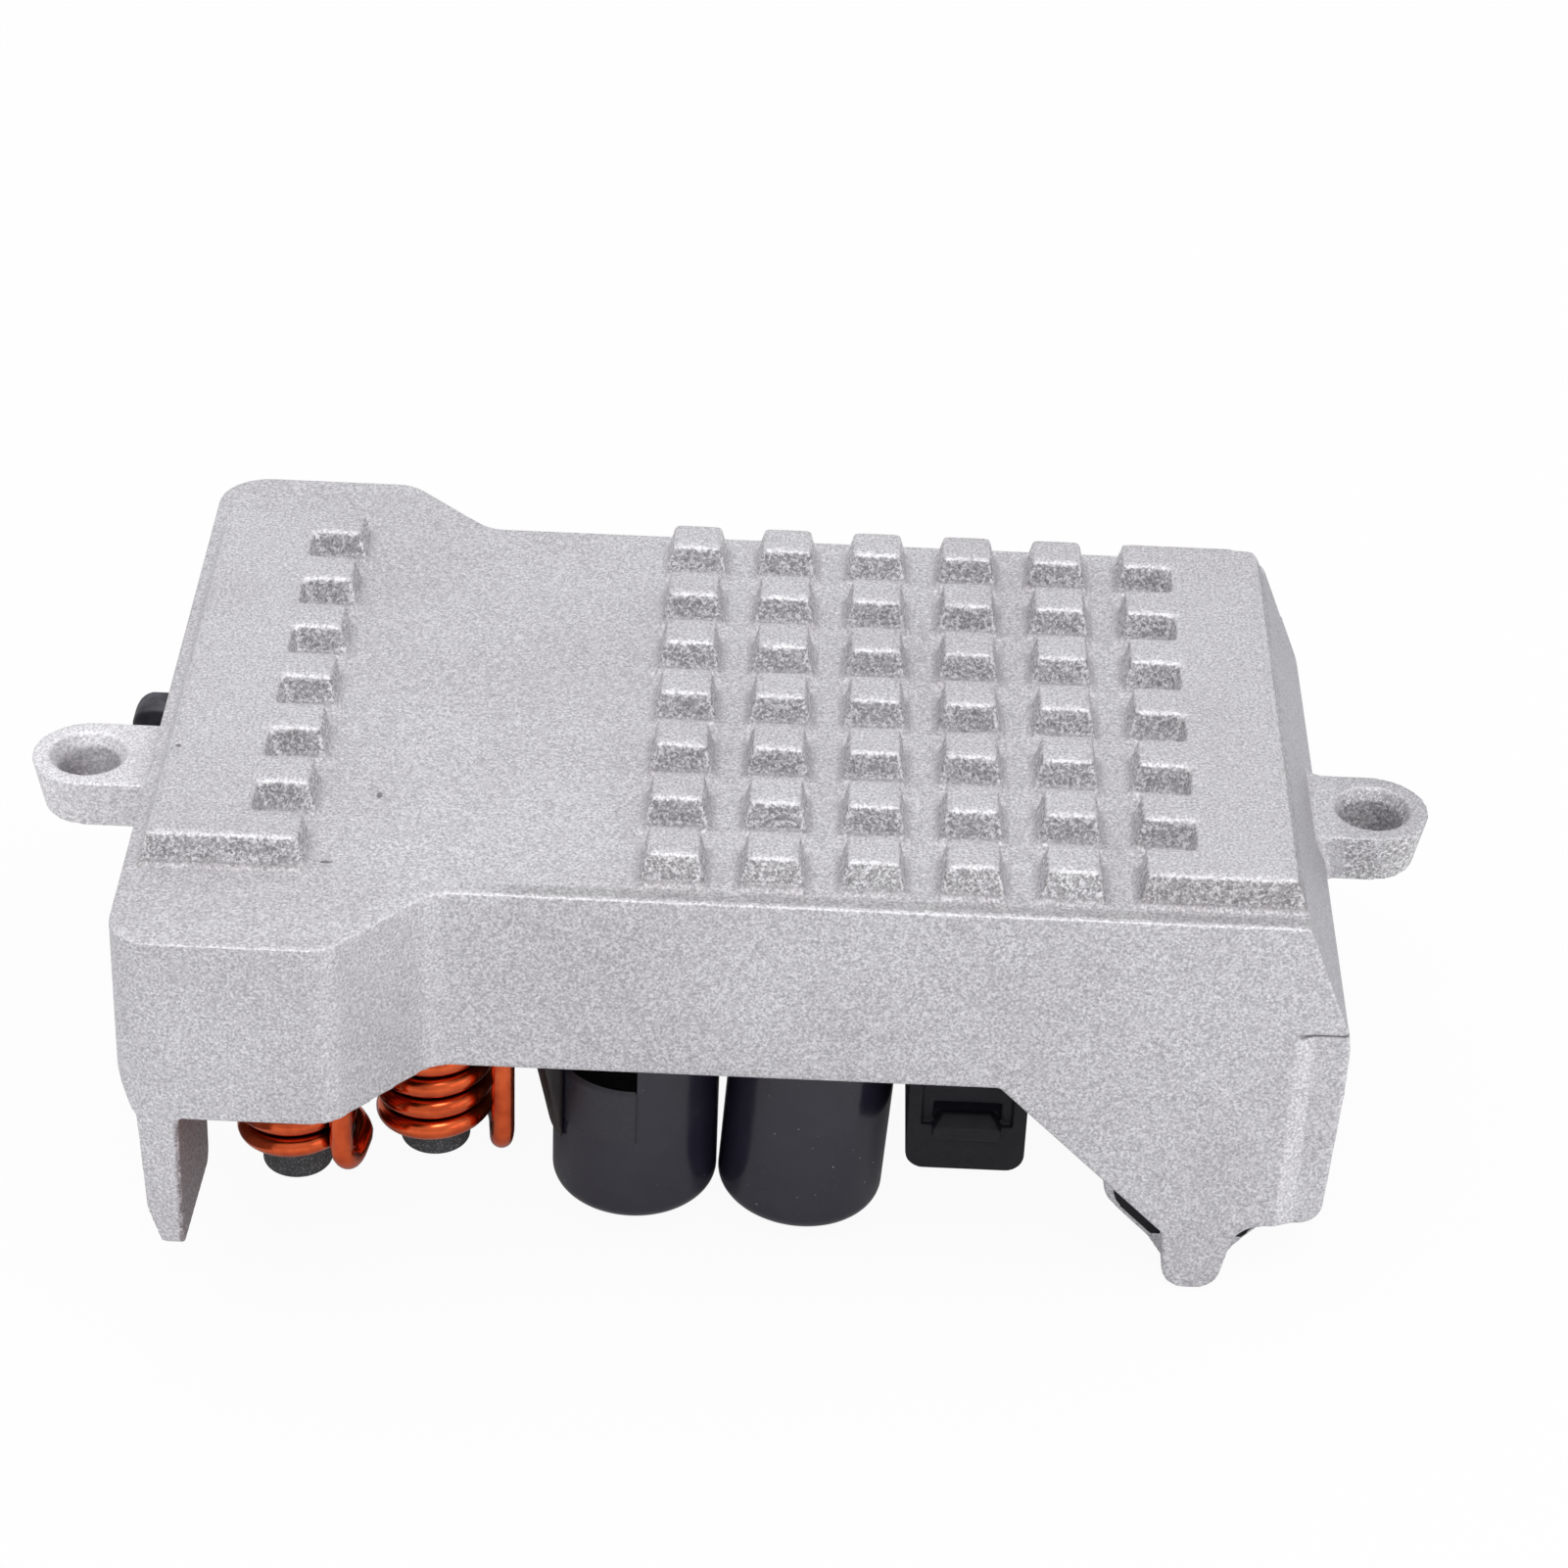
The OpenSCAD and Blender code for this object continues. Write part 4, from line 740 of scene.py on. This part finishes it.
def core_profile():
    """Outline of a ferrite rod as (radius, height over its foot)."""
    flat_r = CORE_R - CORE_EDGE
    profile = [(AXIS_R, 0), (flat_r - CORE_EDGE, 0)]
    profile += arc(flat_r, CORE_EDGE, CORE_EDGE, -90, 0, CORE_EDGE_STEPS)
    profile += [(CORE_R, z) for z in CORE_ROWS]
    profile += arc(flat_r, CORE_L - CORE_EDGE, CORE_EDGE, 0, 90, CORE_EDGE_STEPS)
    return profile + [(AXIS_R, CORE_L)]


def add_chokes():
    """Wound ferrite rods."""
    for number, axis, lead, foot in CHOKES:
        points, faces = tube(winding_path(axis, lead, foot), WIRE_R, WIRE_SIDES)
        winding = f"winding_{number}"
        add_piece(winding, smooth_mesh(winding, points, faces), "copper_wire", f"choke_winding_{number}")
        points, faces = lathe(core_profile(), CORE_SEGMENTS)
        points = [(x + axis[0], y + axis[1], z + CORE_BOTTOM) for x, y, z in points]
        rod = f"rod_{number}"
        add_piece(rod, smooth_mesh(rod, points, faces), "ferrite", f"choke_core_{number}")


# Width of the lip that a sleeve laps over the bare can end, that end's depth inside the lip,
# and the lean and softening of the lip's inner wall, in millimetres
LIP = 2.2
CAN_SINK = 0.3
LIP_LEAN = 0.2
LIP_SOFT = 0.02
# Rounds at a sleeve's lower and upper end, in millimetres
LOW_EDGE = 1.8
LOW_EDGE_STEPS = 12
TOP_EDGE = 0.8
TOP_EDGE_STEPS = 6
# Depth and half height of a sleeve's bead, its height, and the room kept for it, in millimetres
BEAD = 0.7
BEAD_Z = -4
BEAD_STEPS = 12
BEAD_ROOM = 5.2
# Spacing of the rows along a sleeve's wall, in millimetres, and how many rows at the end are bare can
ROW_STEP = 0.25
CAN_ROWS = 3
SLEEVE_SEGMENTS = 360
# Height in the can where its leads start, in millimetres
LEAD_ROOT = BOARD_BOTTOM - 2
LEAD_SEGMENTS = 16
# Window torn in one sleeve: angles round the can in degrees, heights below its upper end and depth in
# millimetres, and half width of its slits in degrees
TORN_CAN = "capacitor_1"
TEAR_FROM = -147.0
TEAR_TO = -87.0
TEAR_TOP = -8.4
TEAR_LOW = -14.6
SLIT_LOW = -21.1
TEAR_DEPTH = 0.45
SLIT_HALF_W = 0.5
# Material numbers on a capacitor, in the order of its looks
WHOLE, TORN, SCUFFED, BARE = range(4)
CAP_LOOKS = (LOOKS["capacitor_sleeve"], TORN_SHADE, SCUFFED_SLEEVE, CAN_METAL)


def sleeve_state(angle, z):
    """Whether the torn sleeve is gone, scuffed or whole at an angle and a height."""
    angle = (angle + 180) % 360 - 180
    if TEAR_FROM < angle < TEAR_TO and TEAR_LOW < z < TEAR_TOP:
        return TORN
    if SLIT_LOW < z <= TEAR_LOW:
        if min(abs(angle - TEAR_FROM), abs(angle - TEAR_TO)) < SLIT_HALF_W:
            return TORN
        if TEAR_FROM < angle < TEAR_TO:
            return SCUFFED
    return WHOLE


def tear(angle, z):
    return TEAR_DEPTH if sleeve_state(angle, z) == TORN else 0


def sleeve_profile():
    """Outline of a capacitor as (radius, height), from the bare can end up to the board's side."""
    low = -CAP_L
    flat_r = CAP_R - LOW_EDGE
    end_r = flat_r - LIP
    profile = [(AXIS_R, low + CAN_SINK), (end_r - 3 * LIP_LEAN, low + CAN_SINK)]
    profile += [(end_r - LIP_LEAN, low + CAN_SINK - LIP_SOFT), (end_r, low + LIP_SOFT)]
    profile += [(end_r + CAN_SINK, low), (flat_r - 2 * LIP_LEAN, low)]
    profile += arc(flat_r, low + LOW_EDGE, LOW_EDGE, -90, 0, LOW_EDGE_STEPS)
    rows = int((CAP_L - LOW_EDGE - BEAD_ROOM) / ROW_STEP)
    profile += [(CAP_R, low + LOW_EDGE + ROW_STEP * (i + 1)) for i in range(rows)]
    groove = [BEAD_Z - BEAD + 2 * BEAD * i / BEAD_STEPS for i in range(BEAD_STEPS + 1)]
    profile += [(CAP_R - BEAD * (1 + math.cos(math.pi * (z - BEAD_Z) / BEAD)) / 2, z) for z in groove]
    profile += arc(CAP_R - TOP_EDGE, -TOP_EDGE, TOP_EDGE, 0, 90, TOP_EDGE_STEPS)
    return profile + [(AXIS_R, 0)]


def add_capacitor(node, x, lean):
    """A can in its shrunk sleeve with a lapped lip round the bare can end, and its two leads."""
    profile = sleeve_profile()
    torn = node == TORN_CAN
    points, faces = lathe(profile, SLEEVE_SEGMENTS, tear if torn else None)
    turn = Matrix.Rotation(lean, 3, "Y")
    top = Vector((x, CAP_Y, BOARD_BOTTOM - CAP_R * math.sin(lean)))
    points = [turn @ Vector(p) + top for p in points]
    sleeve_faces = len(faces)
    can_end = sleeve_faces - 2
    for side in (-CAP_LEAD, CAP_LEAD):
        lead_points, lead_faces = lathe([(CAP_LEAD_R, LEAD_ROOT), (CAP_LEAD_R, LEAD_END)], LEAD_SEGMENTS)
        start = len(points)
        points += [Vector((px + x + side, py + CAP_Y, pz)) for px, py, pz in lead_points]
        faces += [tuple(start + v for v in face) for face in lead_faces]
    mesh = smooth_mesh(node + "_sleeve", points, faces)
    for look in CAP_LOOKS:
        mesh.materials.append(look)
    for face in mesh.polygons:
        row, k = divmod(face.index, SLEEVE_SEGMENTS)
        if row < CAN_ROWS or face.index == can_end or face.index >= sleeve_faces:
            face.material_index = BARE
        # Faces of the tear and its slits take the painted shade.
        elif torn and row < len(profile) - 1:
            height = (profile[row][1] + profile[row + 1][1]) / 2
            face.material_index = sleeve_state((k + 0.5) * 360 / SLEEVE_SEGMENTS, height)
    add_piece(node + "_sleeve", mesh, "capacitor_sleeve", node)


# Upper limit of the cover's wedge beside the first capacitor, and its reach from the sleeve, in millimetres
WEDGE_TOP = -5.7
WEDGE_REACH = 4


def sleeve_wedge(cover):
    """The wedge left of the first capacitor looks like the sleeve that lies against it, in a brown tint that
    is a painted reflection of the copper winding beside it.
    """
    cover.data.materials.append(FLARED_SLEEVE_REFLECTING_COPPER)
    axis = Vector((CAPS[0][1], CAP_Y)) * MM
    for face in cover.data.polygons:
        out = face.center.xy - axis
        if face.center.z < WEDGE_TOP * MM and out.x < 0 and out.length < (CAP_R + WEDGE_REACH) * MM:
            face.material_index = 1


# Radius of the floor and its gap under the part, in metres
FLOOR_R = 0.6
FLOOR_GAP = 0.0002
# Tone of the floor, and the share of plain white that the camera sees there
FLOOR_TONE = 0.81
FLOOR_WHITE = 0.94
# Brightness of the dome by elevation in degrees
DOME = ((-90, 0.75), (-20, 0.75), (0, 0.68), (14, 0.68), (32, 0.71), (52, 0.88), (90, 1.05))
# The dome's fall toward +X: the two shares of +X where it starts and ends, and its strengths there
DARK_SIDE = (0.45, 0.95, 1.02, 0.6)
# Name, place and size in metres, and power in watts of each lamp
LAMPS = (
    ("lamp_top", (-0.2, 0.2, 0.8), 0.8, 0.7),
    ("lamp_front", (0.75, -0.8, 0.3), 0.7, 1.0),
    ("lamp_edge", (0.0, -0.5, 0.75), 0.3, 1.4),
    ("lamp_side", (0.75, 0.1, 0.49), 0.3, 0.8),
)


def white_for_camera(tree, lit, white_kind, share, target):
    """Show the camera a share of plain white over a shader; the rays that light surfaces meet it alone."""
    white = tree.nodes.new(white_kind)
    white.inputs["Color"].default_value = (1, 1, 1, 1)
    white.inputs["Strength"].default_value = 1.0
    path = tree.nodes.new("ShaderNodeLightPath")
    scale = tree.nodes.new("ShaderNodeMath")
    scale.operation = "MULTIPLY"
    tree.links.new(path.outputs["Is Camera Ray"], scale.inputs[0])
    scale.inputs[1].default_value = share
    blend = tree.nodes.new("ShaderNodeMixShader")
    tree.links.new(scale.outputs[0], blend.inputs["Fac"])
    tree.links.new(lit, blend.inputs[1])
    tree.links.new(white.outputs[0], blend.inputs[2])
    tree.links.new(blend.outputs["Shader"], target)


def make_floor():
    """A round white floor just under the part."""
    floor_z = cad_box[0].z - FLOOR_GAP
    turns = [math.radians(a) for a in range(0, 360, 3)]
    rim = [(FLOOR_R * math.cos(a), FLOOR_R * math.sin(a), floor_z) for a in turns]
    mesh = bpy.data.meshes.new("floor")
    mesh.from_pydata(rim, [], [tuple(range(len(rim)))])
    floor = bpy.data.objects.new("floor", mesh)
    scene.collection.objects.link(floor)
    shader = Shader("floor_white").set(Base_Color=(FLOOR_TONE, FLOOR_TONE, FLOOR_TONE, 1), Roughness=0.9)
    white_for_camera(shader.tree, shader.bsdf.outputs["BSDF"], "ShaderNodeEmission", FLOOR_WHITE,
                     shader.out.inputs["Surface"])
    mesh.materials.append(shader.material)


def make_world():
    """A pale dome, darker at the horizon and toward +X, that the camera sees as white."""
    world = bpy.data.worlds.new("world")
    scene.world = world
    world.use_nodes = True
    tree = world.node_tree
    tree.nodes.clear()
    out = tree.nodes.new("ShaderNodeOutputWorld")
    direction = split(tree, tree.nodes.new("ShaderNodeTexCoord").outputs["Generated"])
    height = map_range(tree, direction["Z"], -1.0, 1.0)
    levels = [((math.sin(math.radians(elevation)) + 1) / 2, level) for elevation, level in DOME]
    light = tree.nodes.new("ShaderNodeBackground")
    tree.links.new(colour_ramp(tree, height, levels), light.inputs["Color"])
    tree.links.new(map_range(tree, direction["X"], *DARK_SIDE), light.inputs["Strength"])
    white_for_camera(tree, light.outputs["Background"], "ShaderNodeBackground", 1.0, out.inputs["Surface"])


def add_lamp(name, place, size, watts):
    """A round soft lamp that looks at the origin."""
    data = bpy.data.lights.new(name, "AREA")
    data.shape = "DISK"
    data.size = size
    data.energy = watts
    lamp = bpy.data.objects.new(name, data)
    scene.collection.objects.link(lamp)
    lamp.location = place
    lamp.rotation_mode = "QUATERNION"
    lamp.rotation_quaternion = (-Vector(place)).to_track_quat("-Z", "Y")


scene.view_settings.view_transform = "Standard"
make_camera()
make_floor()
make_world()
for lamp_row in LAMPS:
    add_lamp(*lamp_row)

dress_nodes()
softened("heat_sink_housing", "casting", "cast_aluminium", voxel_mm=0.27, passes=3, triangles=195000,
         rounder=((6, on_pins), (24, on_slope)))
cover = softened("bottom_cover", "cover", "black_moulding", voxel_mm=0.26, passes=3, triangles=90000)
sleeve_wedge(cover)
softened("control_socket", "front_socket", "black_moulding", voxel_mm=0.14, passes=5, triangles=60000)
softened("power_socket", "side_socket", "black_moulding", voxel_mm=0.16, passes=5, triangles=60000)
add_chokes()
for cap_row in CAPS:
    add_capacitor(*cap_row)
